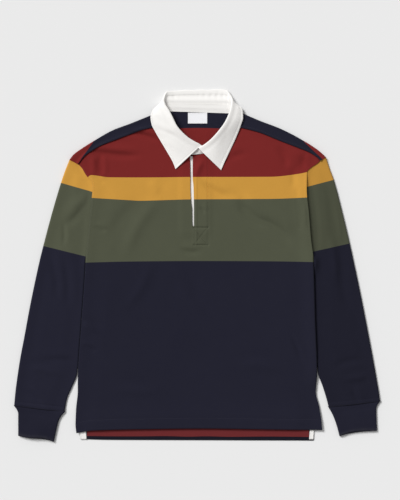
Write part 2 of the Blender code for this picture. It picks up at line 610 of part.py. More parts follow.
def step_towards(start, target, length):
    """A point some way from the start towards the target, measured level."""
    way = target - start
    return start + way * length / np.linalg.norm(way[:, :2], axis=1)[:, None]


def level_way(start, target):
    """Unit vectors from the start to the target, measured level."""
    way = (target - start)[:, :2]
    return way / np.linalg.norm(way, axis=1)[:, None]


def turn_points(neck, fold, outer, back):
    """Points where the turn ends on the stand's side and on the fall's.

    On the leaves the fall lies over the stand; round the corner they stand side by side, and at
    the back the fall lies beneath.
    """
    inward = level_way(fold, neck) + level_way(fold, outer)
    inward /= np.linalg.norm(inward, axis=1)[:, None]
    aside = np.column_stack([inward[:, 1], -inward[:, 0]])
    aside *= (np.sign(fold[:, 0]) * np.sign(aside[:, 0]))[:, None]
    over = np.hstack([aside * np.sin(np.pi * back), np.cos(np.pi * back)])
    radius = LEAF_TURN + (BACK_TURN - LEAF_TURN) * back
    middle = fold + np.hstack([inward * FALL_TURN, -LEAF_TURN_DROP * (1 - back)])
    return middle - over * radius, middle + over * radius


def round_turn(inner_side, fold, outer_side):
    """Half a circle between the two legs of the turn, with its outermost point on the fold."""
    apart = outer_side - inner_side
    radius = np.linalg.norm(apart, axis=1)[:, None] / 2
    over = apart / (2 * radius)
    back_in = (inner_side + outer_side) / 2 - fold
    back_in -= over * np.sum(back_in * over, axis=1)[:, None]
    back_in /= np.linalg.norm(back_in, axis=1)[:, None]
    return [fold + radius * (back_in * (1 - np.sin(angle)) - over * np.cos(angle))
            for angle in TURN_ANGLES]


def stand_top(neck, fold, outer, seam, back, turn):
    """The line where the stand ends and the fall starts."""
    inner_side, outer_side = turn
    length, fall_length = (np.linalg.norm((end - fold)[:, :2], axis=1)[:, None] - FALL_TURN
                           for end in (neck, outer))
    top = inner_side + (neck - inner_side) * (seam - FALL_TURN) / length
    fall_z = outer_side[:, 2:] + (outer - outer_side)[:, 2:] * (seam - FALL_TURN) / fall_length
    top[:, 2:] += (fall_z + 2 * BACK_TURN - top[:, 2:]) * back
    return top


def seam_gap(top, towards, back):
    """Share of the way from the seam by which a piece stops short of it, more round the corner."""
    gap = SEAM / 2 + CORNER_GAP * np.sqrt(np.sin(np.pi * np.clip(back + CORNER_EARLY, 0, 1)))
    return gap / np.linalg.norm(towards - top, axis=1)[:, None]


def build_collar():
    last = len(COLLAR["seam"]) - 1
    at = np.linspace(0, last, round(last / COLLAR_STEP) + 1)
    neck, fold, outer, seam, back = collar_sections(at)
    turn = turn_points(neck, fold, outer, back)
    inner_side, outer_side = turn
    top = stand_top(neck, fold, outer, seam, back, turn)
    start = top + (inner_side - top) * seam_gap(top, inner_side, back)
    around = [start, *round_turn(inner_side, fold, outer_side)]
    around += [outer_side + (outer - outer_side) * share for share in LEG_SHARES]
    points = np.stack(around, axis=1)
    cloth("collar_fall", points.reshape(-1, 3), grid(len(at), len(around)), COLLAR_CLOTH, WHITE,
          even=False)

    at = at[at >= STAND_START]
    neck, fold, outer, seam, back = collar_sections(at)
    top = stand_top(neck, fold, outer, seam, back, turn_points(neck, fold, outer, back))
    top += (neck - top) * seam_gap(top, neck, back)
    tab_neck, tab_top = (np.column_stack([STAND_TAB[end + axis] for axis in ("_x", "_y", "_z")])
                         for end in ("neck", "top"))
    neck, top = np.concatenate([neck, tab_neck]), np.concatenate([top, tab_top])
    back = np.concatenate([back, np.zeros((len(tab_neck), 1))])
    knee = step_towards(neck, top, STAND_KNEE)
    knee[:, 2:] += (STAND_OVER_FALL - knee[:, 2:]) * back
    around = [neck, knee, (knee + top) / 2, top]
    points = np.stack(around, axis=1)
    cloth("collar_stand", points.reshape(-1, 3), grid(len(neck), len(around)), COLLAR_CLOTH,
          WHITE, even=False)


# Tapes, label and under-placket ---------------------------------------------------------------

def build_small_pieces():
    flat_piece("neck_tape", np.linspace(*NECK_TAPE_X, TAPE_POINTS), NECK_TAPE["y"],
               NECK_TAPE["z"], WHITE)
    flat_piece("neck_label", np.linspace(*LABEL_X, LABEL_POINTS),
               np.linspace(*LABEL_Y, LABEL_POINTS), ON_BACK, WHITE)
    flat_piece("hem_tape", np.linspace(*HEM_TAPE_X, TAPE_POINTS), HEM_TAPE_Y, ON_BACK, RED)
    flat_piece("placket_under", UNDER_PLACKET_X, np.linspace(*UNDER_PLACKET_Y, BINDING_POINTS),
               ON_BACK, WHITE)
    for side, way in (("left", 1), ("right", -1)):
        ys = np.linspace(*VENT_TAPE_Y, BINDING_POINTS)
        edges = edge(side, ys, "back") + way * SEAM
        points = [(x, y, ON_BACK) for x_edge, y in zip(edges, ys)
                  for x in sorted((x_edge, x_edge + way * VENT_TAPE_WIDTH))]
        cloth("vent_tape_" + side, points, grid(len(ys), 2), TAPE, WHITE)


for old in list(bpy.data.objects):
    bpy.data.objects.remove(old, do_unlink=True)
shirt = bpy.data.collections.new("polo_shirt")
bpy.context.scene.collection.children.link(shirt)
build_back()
build_front()
for sleeve_side in ("left", "right"):
    build_sleeve(sleeve_side)
    build_cuff(sleeve_side)
build_collar()
build_small_pieces()
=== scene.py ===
# %% [markdown]
# # A striped long-sleeved polo, laid flat
# A heavy cotton jersey shirt lies on its back with the sleeves down beside the body. The frame
# gives the plain solids of every sewn piece; this script dresses each one with a finer sheet of
# cloth that follows the same outline, then adds creases, ribs, stitches and light. Blender could
# also let the cloth fall in a simulation, but a pressed shirt has few creases and all are
# shallow, so they are placed one by one, where this shirt has them. Left and right are the viewer's
# left and right throughout.

# %% Frame
import math
import bpy
import numpy as np
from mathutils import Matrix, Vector
from mathutils.bvhtree import BVHTree


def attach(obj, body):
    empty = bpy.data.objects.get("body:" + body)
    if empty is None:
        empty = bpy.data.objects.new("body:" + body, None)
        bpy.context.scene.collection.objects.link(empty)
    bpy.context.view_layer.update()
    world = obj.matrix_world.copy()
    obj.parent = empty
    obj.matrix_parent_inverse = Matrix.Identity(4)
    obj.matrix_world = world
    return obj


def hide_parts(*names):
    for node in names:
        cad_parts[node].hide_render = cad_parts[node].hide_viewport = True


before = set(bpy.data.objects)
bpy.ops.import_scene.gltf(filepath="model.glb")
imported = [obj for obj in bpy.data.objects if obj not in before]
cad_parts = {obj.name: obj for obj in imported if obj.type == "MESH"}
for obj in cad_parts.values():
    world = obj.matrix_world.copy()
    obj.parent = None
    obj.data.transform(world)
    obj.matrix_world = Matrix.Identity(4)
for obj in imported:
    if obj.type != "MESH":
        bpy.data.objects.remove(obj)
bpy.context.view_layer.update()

# %% [markdown]
# ## Sizes and curves
# All sizes below are millimetres on the real shirt, and the meshes are written in metres. Each
# outline is a short table of places that a smooth curve runs through. A common spline would do,
# but it swings past its places where they bend; this curve never does, so an edge keeps the shape
# that its table says.

# %% Curves from tables
MM = 0.001


def table(names, *rows):
    """One array for each named column."""
    return dict(zip(names.split(), np.array(rows, float).T))


def fair(knots, values, at):
    """Smooth curve through the knots that never swings past them."""
    gaps = np.diff(knots)
    climbs = np.diff(values) / gaps
    before, after = climbs[:-1], climbs[1:]
    same_way = before * after > 0
    slopes = np.concatenate([climbs[:1], np.zeros(len(before)), climbs[-1:]])
    slopes[1:-1][same_way] = (2 * before * after)[same_way] / (before + after)[same_way]
    at = np.clip(np.asarray(at, float), knots[0], knots[-1])
    span = np.clip(np.searchsorted(knots, at, side="right") - 1, 0, len(gaps) - 1)
    t = (at - knots[span]) / gaps[span]
    return ((1 + 2 * t) * (1 - t) ** 2 * values[span] + t * (1 - t) ** 2 * gaps[span] * slopes[span]
            + t * t * (3 - 2 * t) * values[span + 1]
            - t * t * (1 - t) * gaps[span] * slopes[span + 1])


hill = table("x y", (0, 0), (1, 10), (2, 0))
print("half way up, a curve over 0, 10, 0 stands at", float(fair(hill["x"], hill["y"], 0.5)))

# %% [markdown]
# ## Soft steps
# Cloth changes height gently. Three soft steps serve the whole shirt: one climbs, one fades on
# both sides of a line, and one rises like the quarter circle of a fold. They could be drawn as
# curves by hand, but a formula gives the same step at every seam.

# %% Soft steps
FOLD_REACH = 3.0


def ramp(value, start, end):
    """Climbs smoothly from 0 at the start to 1 at the end."""
    share = np.clip((value - start) / (end - start), 0, 1)
    return share * share * (3 - 2 * share)


def fading(distance, spread):
    """1 at no distance, falling softly to 0."""
    return np.exp(-(distance / spread) ** 2)


def rounded(distance):
    """Rise of a quarter circle over the reach of a fold."""
    return np.sqrt(1 - (1 - np.clip(distance / FOLD_REACH, 0, 1)) ** 2)


print("a quarter of the way into a fold the layers are", round(float(rounded(0.75)), 2), "open")

# %% [markdown]
# ## The outline
# The body is two panels. Both follow the same side edges, so they meet along one fold. The back
# panel is longer: it rolls over the shoulders to a seam on the front, and it shows below the
# front hem between two vents. The edges could be drawn as Bezier curves, but a table of places is
# easier to measure, and one function then gives the edge at any height.

# %% Side edges
SIDE_EDGE = {
    "left": table(
        "y x",
        (-401.5, -289.9), (-381.0, -292.0), (-347.0, -291.0), (-301.0, -286.6), (-256.0, -285.8),
        (-130.0, -277.2), (-4.0, -268.4), (30.0, -266.4), (85.2, -260.9), (164.4, -253.0),
        (186.0, -251.3), (202.8, -254.2), (211.2, -262.6), (221.5, -270.0), (232.3, -276.0),
        (242.4, -285.4)),
    "right": table(
        "y x",
        (-394.1, 299.0), (-370.0, 296.8), (-339.6, 292.0), (-301.0, 283.6), (-256.0, 286.4),
        (-130.0, 282.0), (4.0, 278.1), (30.0, 276.0), (61.2, 271.8), (128.4, 266.2),
        (181.2, 261.4), (223.4, 262.6), (235.4, 273.4), (243.4, 286.1), (250.8, 294.2))}
TIP = {"left": (-306.3, 252.8), "right": (307.7, 258.8)}
OUTWARD = {"left": -1, "right": 1}
VENT_TOP = -300.0
BACK_VENT = table(
    "y left right",
    (-418.0, -280.6, 278.6), (-380.0, -283.0, 281.0), (-340.0, -284.6, 282.6))


def edge(side, y, panel="front"):
    """X of the body's side edge at a height."""
    rows, tip = SIDE_EDGE[side], TIP[side]
    heights, places = rows["y"], rows["x"]
    if panel == "back":
        above = heights >= VENT_TOP - 5
        heights = np.concatenate([BACK_VENT["y"], heights[above]])
        places = np.concatenate([BACK_VENT[side], places[above]])
    x = fair(heights, places, y)
    seam_x, seam_y = rows["x"][-1], rows["y"][-1]
    beyond = np.interp(y, (seam_y, tip[1]), (seam_x, tip[0]))
    return np.where(np.asarray(y) > seam_y, beyond, x)


def side_levels(side, shares):
    """Heights along a side edge, for shares from 0 at its hem to 1 at its top."""
    rows = SIDE_EDGE[side]
    return rows["y"][0] + shares * (rows["y"][-1] - rows["y"][0])


print("chest laid flat", round(float(edge("right", 0) - edge("left", 0))), "mm")

# %% [markdown]
# The hems bow a little, the shoulder seams slant down to the armholes, and the front is cut out
# round the neck. These lines run across the shirt, so their tables give a height for each x.

# %% Hems, shoulder seams and neckline
FRONT_HEM = table(
    "x y",
    (-289.9, -401.5), (-248.2, -394.8), (-113.8, -391.4), (13.4, -390.0), (150.2, -391.9),
    (299.0, -394.1))
BACK_HEM = -418.0
SHOULDER_SEAM = {
    "left": table(
        "x y",
        (-285.4, 242.4), (-276.0, 256.0), (-266.0, 267.0), (-251.8, 276.5), (-237.4, 285.4),
        (-223.0, 292.0), (-194.2, 303.0), (-165.4, 314.0), (-136.6, 324.5), (-111.4, 331.0),
        (-84.0, 336.0)),
    "right": table(
        "x y",
        (84.0, 336.0), (109.4, 330.5), (150.2, 319.5), (185.0, 305.5), (213.8, 294.0),
        (242.6, 283.0), (266.0, 273.5), (284.0, 262.0), (294.2, 250.8))}
FRONT_NECK = table(
    "x y",
    (-84.0, 336.0), (-80.0, 325.0), (-70.0, 306.5), (-54.0, 287.6), (-36.0, 274.2),
    (-18.2, 267.0), (-10.6, 265.2), (0.0, 265.2), (10.0, 266.8), (24.0, 270.2), (46.0, 280.8),
    (65.0, 299.6), (77.5, 321.0), (84.0, 336.0))
BACK_TOP = table(
    "x y",
    (-306.3, 252.8), (-296.2, 265.8), (-281.8, 276.6), (-248.2, 298.0), (-202.6, 323.8),
    (-161.8, 339.2), (-111.4, 359.6), (-90.0, 368.4), (-76.0, 374.2), (-60.0, 376.0), (0.0, 375.2),
    (60.0, 374.8), (78.0, 374.0), (92.0, 371.0), (111.8, 362.6), (150.2, 346.2),
    (195.8, 328.8), (232.8, 310.7), (251.0, 300.4), (265.4, 292.0), (279.8, 282.6), (294.2, 271.8),
    (307.7, 258.8))


def front_hem(x):
    """Y of the front's hem."""
    return fair(FRONT_HEM["x"], FRONT_HEM["y"], x)


def back_top(x):
    """Y of the back's topmost line, where it folds over the shoulders."""
    return fair(BACK_TOP["x"], BACK_TOP["y"], x)


def front_top(x):
    """Y of the shoulder seams and of the front neckline between them."""
    left, right = (fair(SHOULDER_SEAM[side]["x"], SHOULDER_SEAM[side]["y"], x) for side in OUTWARD)
    neck = fair(FRONT_NECK["x"], FRONT_NECK["y"], x)
    return np.where(x < FRONT_NECK["x"][0], left, np.where(x > FRONT_NECK["x"][-1], right, neck))


print("back longer than front by", round(float(front_hem(0.0) - BACK_HEM)), "mm")

# %% [markdown]
# ## Creases
# A pressed shirt still has shallow creases where it was folded or pulled. Each one here is a row:
# its two ends, how far it bows, how wide it is and how high (a trough has a height below 0). A
# crease has a softer mate of the opposite sign beside it, as cloth that dips in one place swells
# in the next. A cloth simulation finds creases of its own; rows put them where this shirt has
# them, and give the same shirt each time.

# %% Creases of the body
BODY_CREASES = table(
    "x0 y0 x1 y1 bow width height",
    (-162.0, 318.0, -92.0, 298.0, 4.0, 5.5, -2.2),
    (-258.0, 274.0, -146.0, 263.0, -3.0, 7.0, -2.2),
    (-234.0, 266.0, -230.0, 218.0, 1.0, 4.5, -1.5),
    (-252.0, 258.0, -247.0, 216.0, 1.0, 6.0, 1.4),
    (-250.0, 214.0, -226.0, 199.0, 2.0, 5.0, -1.3),
    (-112.0, 200.0, -96.0, 172.0, 3.0, 12.0, 0.7),
    (14.0, 197.0, 80.0, 164.0, -5.0, 8.0, -1.6),
    (229.0, 226.0, 230.0, 188.0, 1.0, 6.0, -0.8),
    (-170.0, 30.0, -94.0, 158.0, 10.0, 15.0, 1.1),
    (-214.0, 60.0, -146.0, 150.0, 8.0, 13.0, -0.4),
    (-245.0, 94.0, -222.0, 81.0, 1.0, 4.0, -1.2),
    (102.0, 150.0, 160.0, 100.0, -6.0, 12.0, -1.8),
    (150.0, 108.0, 222.0, 56.0, 6.0, 12.0, -1.8),
    (245.0, 142.0, 247.0, 92.0, 2.0, 5.0, -2.8),
    (-38.0, 37.0, 4.0, 32.0, -2.0, 6.0, -0.9),
    (237.0, 188.0, 241.0, 130.0, 1.0, 4.0, -0.6),
    (-110.0, 8.0, -172.0, -100.0, 8.0, 12.0, 0.6),
    (-70.0, -4.0, -6.0, -64.0, 5.0, 9.0, 0.6),
    (-44.0, -44.0, 18.0, -118.0, -4.0, 9.0, 0.6),
    (-286.0, -132.0, -238.0, -162.0, 3.0, 6.5, 1.3),
    (-286.0, -192.0, -246.0, -204.0, 2.0, 4.5, -1.4),
    (225.0, -172.0, 250.0, -226.0, 2.0, 5.0, -1.0),
    (196.0, 282.0, 214.0, 236.0, 4.0, 9.0, -1.2),
    (230.0, 276.0, 262.0, 246.0, 2.0, 8.0, 0.9),
    (-3.0, 214.0, 17.0, 262.0, 3.0, 8.0, 1.3),
    (110.0, -236.0, 196.0, -252.0, 5.0, 12.0, 0.7),
    (-200.0, -290.0, -96.0, -300.0, -6.0, 12.0, 0.7),
    (60.0, 250.0, 120.0, 268.0, 3.0, 8.0, -0.8),
    (6.0, 139.0, 17.0, 127.0, 1.0, 4.0, -0.8),
    (252.0, 264.0, 256.0, 236.0, 0.0, 5.0, -1.8))
print("creases on the body", len(BODY_CREASES["height"]))

# %% Height of a crease
CREASE_DEPTH = 2.8
MATE_SHARE = 0.45
SINK = 0.3
SOFT_LANDING = 0.7


def crease_heights(x, y, rows):
    """Height that the creases of a table add at each place."""
    total = np.zeros(np.shape(x))
    for x0, y0, x1, y1, bow, width, height in zip(*rows.values()):
        long_x, long_y = x1 - x0, y1 - y0
        length = math.hypot(long_x, long_y)
        along = ((x - x0) * long_x + (y - y0) * long_y) / length ** 2
        aside = ((y - y0) * long_x - (x - x0) * long_y) / length - 4 * bow * along * (1 - along)
        ends = ramp(along, -0.2, 0.35) * (1 - ramp(along, 0.6, 1.2))
        mate = fading(aside - 2 * width, 1.5 * width)
        total += height * ends * (fading(aside, width) - MATE_SHARE * mate)
    return CREASE_DEPTH * total


def above_floor(height):
    """Keeps a height from sinking past the layer below, and bends softly as it comes near."""
    raised = height + SINK
    return (raised + np.sqrt(raised * raised + SOFT_LANDING ** 2)) / 2 - SINK


def unevenness(x, y):
    """Slow swells of cloth that was laid down by hand."""
    return (0.32 * np.sin(x / 61 + 1.3 + 0.6 * np.sin(y / 83)) * np.sin(y / 74 + 0.4)
            + 0.20 * np.sin(x / 37 + y / 52) + 0.12 * np.sin(y / 29 - x / 45))


print("a trough that asks for -8 mm lands at", round(float(above_floor(-8.0)), 2), "mm")

# %% [markdown]
# ## Heights of the two layers
# The lower layer lies on the floor. The upper one rests on it, stands up along the folds, where
# air stays caught, and is drawn down to meet the lower one at each fold. A displacement map could
# shape the cloth too, but a function of place can be asked again: the sleeves, the collar and
# the leaves all need to know how high the shirt lies below them.

# %% Folds, hem and placket
FLOOR = 0.8
RESTING = 2.7
SIDE_SPREAD = 26.0
LEFT_EDGE_SHARE = 0.7
RIGHT_EDGE_LIFT = 6.0
SIDE_LIFT = table(
    "y lift",
    (-401.0, 1.7), (-315.0, 1.7), (-280.0, 4.2), (0.0, 4.2), (60.0, 3.6), (200.0, 3.0),
    (250.0, 2.0))
SHOULDER_LIFT = 4.4
SHOULDER_SPREAD = 22.0
NECK_LIFT = 3.0
FOLD_SLOPE = 0.9
HEM_LIFT = 6.6
HEM_SPREAD = 40.0
PLACKET_LIFT = 1.6


def closing(y):
    """1 where the side is folded, 0 in the vents and along the armholes."""
    return ramp(y, VENT_TOP - 2, VENT_TOP + 20) * (1 - ramp(y, 5.0, 30.0))


def side_lift(x, y):
    """How far the cloth stands up along its side folds."""
    lift = fair(SIDE_LIFT["y"], SIDE_LIFT["lift"], y)
    chest = ramp(y, -40, 20)
    right_lift = RIGHT_EDGE_LIFT * ramp(y, VENT_TOP, VENT_TOP + 60) * (1 - 0.9 * ramp(y, 180, 225))
    right_lift = right_lift * (0.75 + 0.25 * chest)
    return np.where(x > 0, lift + right_lift, lift * (LEFT_EDGE_SHARE - 0.3 * (1 - chest)))


def open_height(x, y, inside):
    """Height of the body's upper layer away from its folds."""
    below_fold = FOLD_SLOPE * (back_top(x) - y)
    shoulder = NECK_LIFT + (SHOULDER_LIFT - NECK_LIFT) * ramp(np.abs(x), 100, 160)
    placket = ramp(x, -50, -34) * (1 - ramp(x, 23, 40)) * ramp(y, 60, 84)
    corner = 0.6 * ramp(x, 230, 285) + 0.5 * ramp(-x, 240, 285)
    hem = fading(y - front_hem(x), HEM_SPREAD) * (1 - corner)
    return (RESTING + side_lift(x, y) * fading(inside, SIDE_SPREAD)
            + shoulder * fading(below_fold, SHOULDER_SPREAD)
            + HEM_LIFT * hem + PLACKET_LIFT * placket)


print("lift along the right fold", round(float(side_lift(1.0, 0.0)), 1), "mm")

# %% [markdown]
# Between its folds the upper layer holds a little air, and there it also creases. Near an edge,
# the hem and the neckline the air runs out, so the puff and the creases fade there. Without that
# the edges would wave, and this shirt's edges are pressed.

# %% Air below the upper layer
PUFF = 3.0


def from_neckline(x, y):
    """Distance to the front's neckline."""
    line_x = np.linspace(FRONT_NECK["x"][0], FRONT_NECK["x"][-1], 60)
    line_y = fair(FRONT_NECK["x"], FRONT_NECK["y"], line_x)
    far = np.full(np.shape(x), 1000.0)
    for place_x, place_y in zip(line_x, line_y):
        far = np.minimum(far, np.hypot(x - place_x, y - place_y))
    return far


def air(x, y, inside):
    """Puff and creases of the upper layer, none of them at the edges."""
    away = ramp(inside, 2, 14) * ramp(y - front_hem(x), 4, 40)
    away = away * ramp(back_top(x) - y, 6, 24) * ramp(from_neckline(x, y), 1, 30)
    puff = PUFF * ramp(inside, 10, 60)
    return away * above_floor(puff + unevenness(x, y) + crease_heights(x, y, BODY_CREASES))


print("air 100 mm above the hem", round(float(air(0.0, BACK_HEM + 100, 280.0)), 1), "mm")

# %% [markdown]
# At a fold the two layers become one sheet that turns round. Half way between them they meet, and
# each of them bends towards that height over the reach of the fold.

# %% Both layers of the body
SIDE_SEAM = 0.5
FOLD_FROM = 76.0
FOLD_FULL = 88.0


def layers(opened, open_share, apart=0.0):
    """Heights of the two layers, drawn together at half height where a fold closes them."""
    middle = (opened + FLOOR) / 2
    return (middle + (opened - middle) * open_share + apart,
            middle + (FLOOR - middle) * open_share - apart)


def body_heights(x, y, panel="front"):
    """Heights of the upper and lower layer of the body at a place."""
    inside = np.minimum(x - edge("left", y, panel), edge("right", y, panel) - x)
    below_fold = FOLD_SLOPE * (back_top(x) - y)
    fold = ramp(np.abs(x), FOLD_FROM, FOLD_FULL)
    side_closed = closing(y) * (1 - rounded(inside))
    open_share = (1 - side_closed) * (1 - fold * (1 - rounded(below_fold)))
    upper, lower = layers(open_height(x, y, inside), open_share, SIDE_SEAM / 2 * side_closed)
    return upper + air(x, y, inside), lower


print("layers at the chest", [round(float(z), 1) for z in body_heights(60.0, 100.0)], "mm")

# %% [markdown]
# ## Cloth materials
# Jersey is a weft knit: close up it is columns of small V loops, and from a metre away a matt
# surface with a faint grain and a soft sheen at a low angle. Photographed cloth could be wrapped
# round the shirt, but nodes stay sharp at any distance. The effects are node groups, because
# several cloths use them at their own scale. Each group puts out a mask, a colour or a normal;
# the shader itself stays in each material.

# %% Node helpers
def new_group(name, inputs, outputs):
    """An empty node group with the sockets named."""
    group = bpy.data.node_groups.new(name, "ShaderNodeTree")
    for label, kind, value in inputs:
        socket = group.interface.new_socket(name=label, in_out="INPUT", socket_type=kind)
        socket.default_value = value
    for label, kind in outputs:
        group.interface.new_socket(name=label, in_out="OUTPUT", socket_type=kind)
    return group, group.nodes.new("NodeGroupInput"), group.nodes.new("NodeGroupOutput")


def math_node(tree, what, first, second):
    """A Math node whose two inputs are sockets or plain numbers."""
    node = tree.nodes.new("ShaderNodeMath")
    node.operation = what
    for socket, value in zip(node.inputs, (first, second)):
        if isinstance(value, (int, float)):
            socket.default_value = value
        else:
            tree.links.new(value, socket)
    return node.outputs[0]


def surface_place(tree):
    """Where a point lies on the cloth's own object, so the pattern moves with the cloth."""
    return tree.nodes.new("ShaderNodeTexCoord").outputs["Object"]


print("node groups so far", len(bpy.data.node_groups))

# %% [markdown]
# ### Threads
# Jersey shows strong columns and weak courses; woven collar cloth and twill show both ways of the
# thread alike. Two sine waves across each other give both, and only their weights differ.

# %% Knit and weave
THREAD_HEIGHT = 0.0004


def build_thread_group(name, across, along, sharp):
    """Rows of thread in two directions; the knit has strong columns and weak courses."""
    tree, given, out = new_group(
        name,
        [("Pitch", "NodeSocketFloat", 1.0), ("Relief", "NodeSocketFloat", 0.3)],
        [("Mask", "NodeSocketFloat"), ("Normal", "NodeSocketVector")])
    split = tree.nodes.new("ShaderNodeSeparateXYZ")
    tree.links.new(surface_place(tree), split.inputs[0])
    step = math_node(tree, "DIVIDE", 2 * math.pi, given.outputs["Pitch"])
    waves = []
    for axis, weight in ((0, across), (1, along)):
        turn = math_node(tree, "MULTIPLY", split.outputs[axis], step)
        wave = math_node(tree, "SINE", turn, 0.0)
        waves.append(math_node(tree, "MULTIPLY", math_node(tree, "POWER", math_node(
            tree, "ABSOLUTE", wave, 0.0), sharp), weight))
    mask = math_node(tree, "ADD", waves[0], waves[1])
    bump = tree.nodes.new("ShaderNodeBump")
    bump.inputs["Distance"].default_value = THREAD_HEIGHT
    tree.links.new(given.outputs["Relief"], bump.inputs["Strength"])
    tree.links.new(mask, bump.inputs["Height"])
    tree.links.new(mask, out.inputs["Mask"])
    tree.links.new(bump.outputs[0], out.inputs["Normal"])
    return tree


KNIT = build_thread_group("Knit columns", 0.75, 0.25, 0.7)
WEAVE = build_thread_group("Plain weave", 0.5, 0.5, 0.9)
print("thread groups:", KNIT.name, "and", WEAVE.name)

# %% [markdown]
# ### Mottle
# Dyed cotton is never one even colour: it has large soft patches and a fine lint. Noise at three
# sizes makes the colour lighter or darker at random; it is added to painted light and shade of the
# threads, lighter on their tops and darker between them. The surface is a little smoother where it is
# lighter.

# %% Mottle
PATCHES = ((7.0, 0.5), (45.0, 0.35), (900.0, 0.6))
THREAD_SHADE = 0.35
SMOOTHING = -0.12


def build_mottle_group():
    """Uneven dye and lint: large soft patches and a fine grain, with painted shade between the
    threads.
    """
    tree, given, out = new_group(
        "Mottle",
        [("Colour", "NodeSocketColor", (0.5, 0.5, 0.5, 1)), ("Amount", "NodeSocketFloat", 0.1),
         ("Threads", "NodeSocketFloat", 0.5), ("Roughness", "NodeSocketFloat", 0.9)],
        [("Colour", "NodeSocketColor"), ("Roughness", "NodeSocketFloat")])
    place = surface_place(tree)
    total = None
    for scale, weight in PATCHES:
        noise = tree.nodes.new("ShaderNodeTexNoise")
        noise.inputs["Scale"].default_value = scale
        noise.inputs["Detail"].default_value = 3
        tree.links.new(place, noise.inputs["Vector"])
        part = math_node(tree, "MULTIPLY", math_node(tree, "SUBTRACT", noise.outputs[0], 0.5), weight)
        total = part if total is None else math_node(tree, "ADD", total, part)
    # Painted shade: the colour is darker between the threads and lighter on them.
    threads = math_node(tree, "MULTIPLY", math_node(
        tree, "SUBTRACT", given.outputs["Threads"], 0.5), THREAD_SHADE)
    total = math_node(tree, "ADD", total, threads)
    factor = math_node(tree, "ADD", math_node(tree, "MULTIPLY", total, given.outputs["Amount"]), 1.0)
    scale = tree.nodes.new("ShaderNodeVectorMath")
    scale.operation = "SCALE"
    tree.links.new(given.outputs["Colour"], scale.inputs[0])
    tree.links.new(factor, scale.inputs["Scale"])
    tree.links.new(scale.outputs[0], out.inputs["Colour"])
    smoother = math_node(tree, "MULTIPLY", total, SMOOTHING)
    tree.links.new(math_node(tree, "ADD", given.outputs["Roughness"], smoother),
                   out.inputs["Roughness"])
    return tree


MOTTLE = build_mottle_group()
print("mottle sizes", [size for size, _ in PATCHES])

# %% [markdown]
# ### Worn rims and a painted highlight
# At the ends of sleeves and cuffs the nap is rubbed off first, and the cloth looks paler there. Every
# sheet holds a number, "rim", that is 1 on such an edge. On the front it is 1 along the left edge from
# the armhole up, which faces the light, so there the paler colour is a painted highlight. Noise breaks
# it up, so that it comes in spots and not as a painted line.

# %% Worn rims
# The paler colour of worn rims, and of the painted highlight on the front's left edge.
WORN_AND_HIGHLIGHT_COLOUR = (0.75, 0.73, 0.70, 1)
WEAR_SPOTS = 160


def build_wear_and_highlight_group():
    """Lightens cloth along rims: real wear at sleeve and cuff ends, a painted highlight on the front's
    lit left edge.
    """
    tree, given, out = new_group(
        "Worn rim and painted highlight",
        [("Colour", "NodeSocketColor", (0.5, 0.5, 0.5, 1)), ("Amount", "NodeSocketFloat", 0.2)],
        [("Colour", "NodeSocketColor")])
    rim = tree.nodes.new("ShaderNodeAttribute")
    rim.attribute_name = "rim"
    noise = tree.nodes.new("ShaderNodeTexNoise")
    noise.inputs["Scale"].default_value = WEAR_SPOTS
    tree.links.new(surface_place(tree), noise.inputs["Vector"])
    worn_and_lit = math_node(tree, "MULTIPLY", rim.outputs["Fac"], noise.outputs[0])
    worn_and_lit = math_node(tree, "MULTIPLY", worn_and_lit, given.outputs["Amount"])
    # Mix towards the paler colour: wear at the ends, and a painted highlight on the front's left edge.
    mix = tree.nodes.new("ShaderNodeMix")
    mix.data_type = "RGBA"
    mix.inputs["B"].default_value = WORN_AND_HIGHLIGHT_COLOUR
    tree.links.new(worn_and_lit, mix.inputs["Factor"])
    tree.links.new(given.outputs["Colour"], mix.inputs["A"])
    tree.links.new(mix.outputs["Result"], out.inputs["Colour"])
    return tree


WEAR_AND_HIGHLIGHT = build_wear_and_highlight_group()
print("groups:", [group.name for group in (KNIT, WEAVE, MOTTLE, WEAR_AND_HIGHLIGHT)])

# %% [markdown]
# ### Colours
# The bands are knitted in, so one material colours the whole body. Each point of a panel holds a
# number, "band", that passes 1, 2 and 3 where the colour changes, and a colour ramp with hard
# steps reads it. The bands then follow the cloth wherever it goes. Separate materials on the
# faces would do too, but their border would follow the grid and look stepped.

# %% Colours
def linear(red, green, blue):
    """Linear colour from a colour seen on screen, 0 to 255."""
    seen = np.array((red, green, blue)) / 255
    return tuple(np.where(seen <= 0.04045, seen / 12.92, ((seen + 0.055) / 1.055) ** 2.4))


NAVY = linear(30, 30, 44)
GREEN = linear(78, 81, 65)
MUSTARD = linear(198, 146, 62)
RED = linear(118, 36, 35)
# The tape's own red is more muted than the body's, and it is set darker than the tape's lit part: in
# part painted shade, for the shade of the lifted hem on it.
TAPE_RED = linear(106, 39, 41)
WHITE = linear(241, 239, 236)
LABEL_WHITE = linear(238, 238, 241)
BANDS = (NAVY, GREEN, MUSTARD, RED, NAVY)
BAND_SCALE = 8.0
print("bands from the hem up", len(BANDS))

# %% [markdown]
# ### The shader of a cloth
# Cotton scatters light in all directions and hardly shines. The Principled shader gives that with
# a high roughness, a low specular level and a touch of sheen; threads, mottle and wear, which also
# paints a highlight on the front's lit edge, come from the groups, each with its own values.

# %% Groups and bands in a material
def place_group(tree, group, **values):
    """A node of the group in a material, with its values."""
    node = tree.nodes.new("ShaderNodeGroup")
    node.node_tree = group
    for label, value in values.items():
        node.inputs[label].default_value = value
    return node


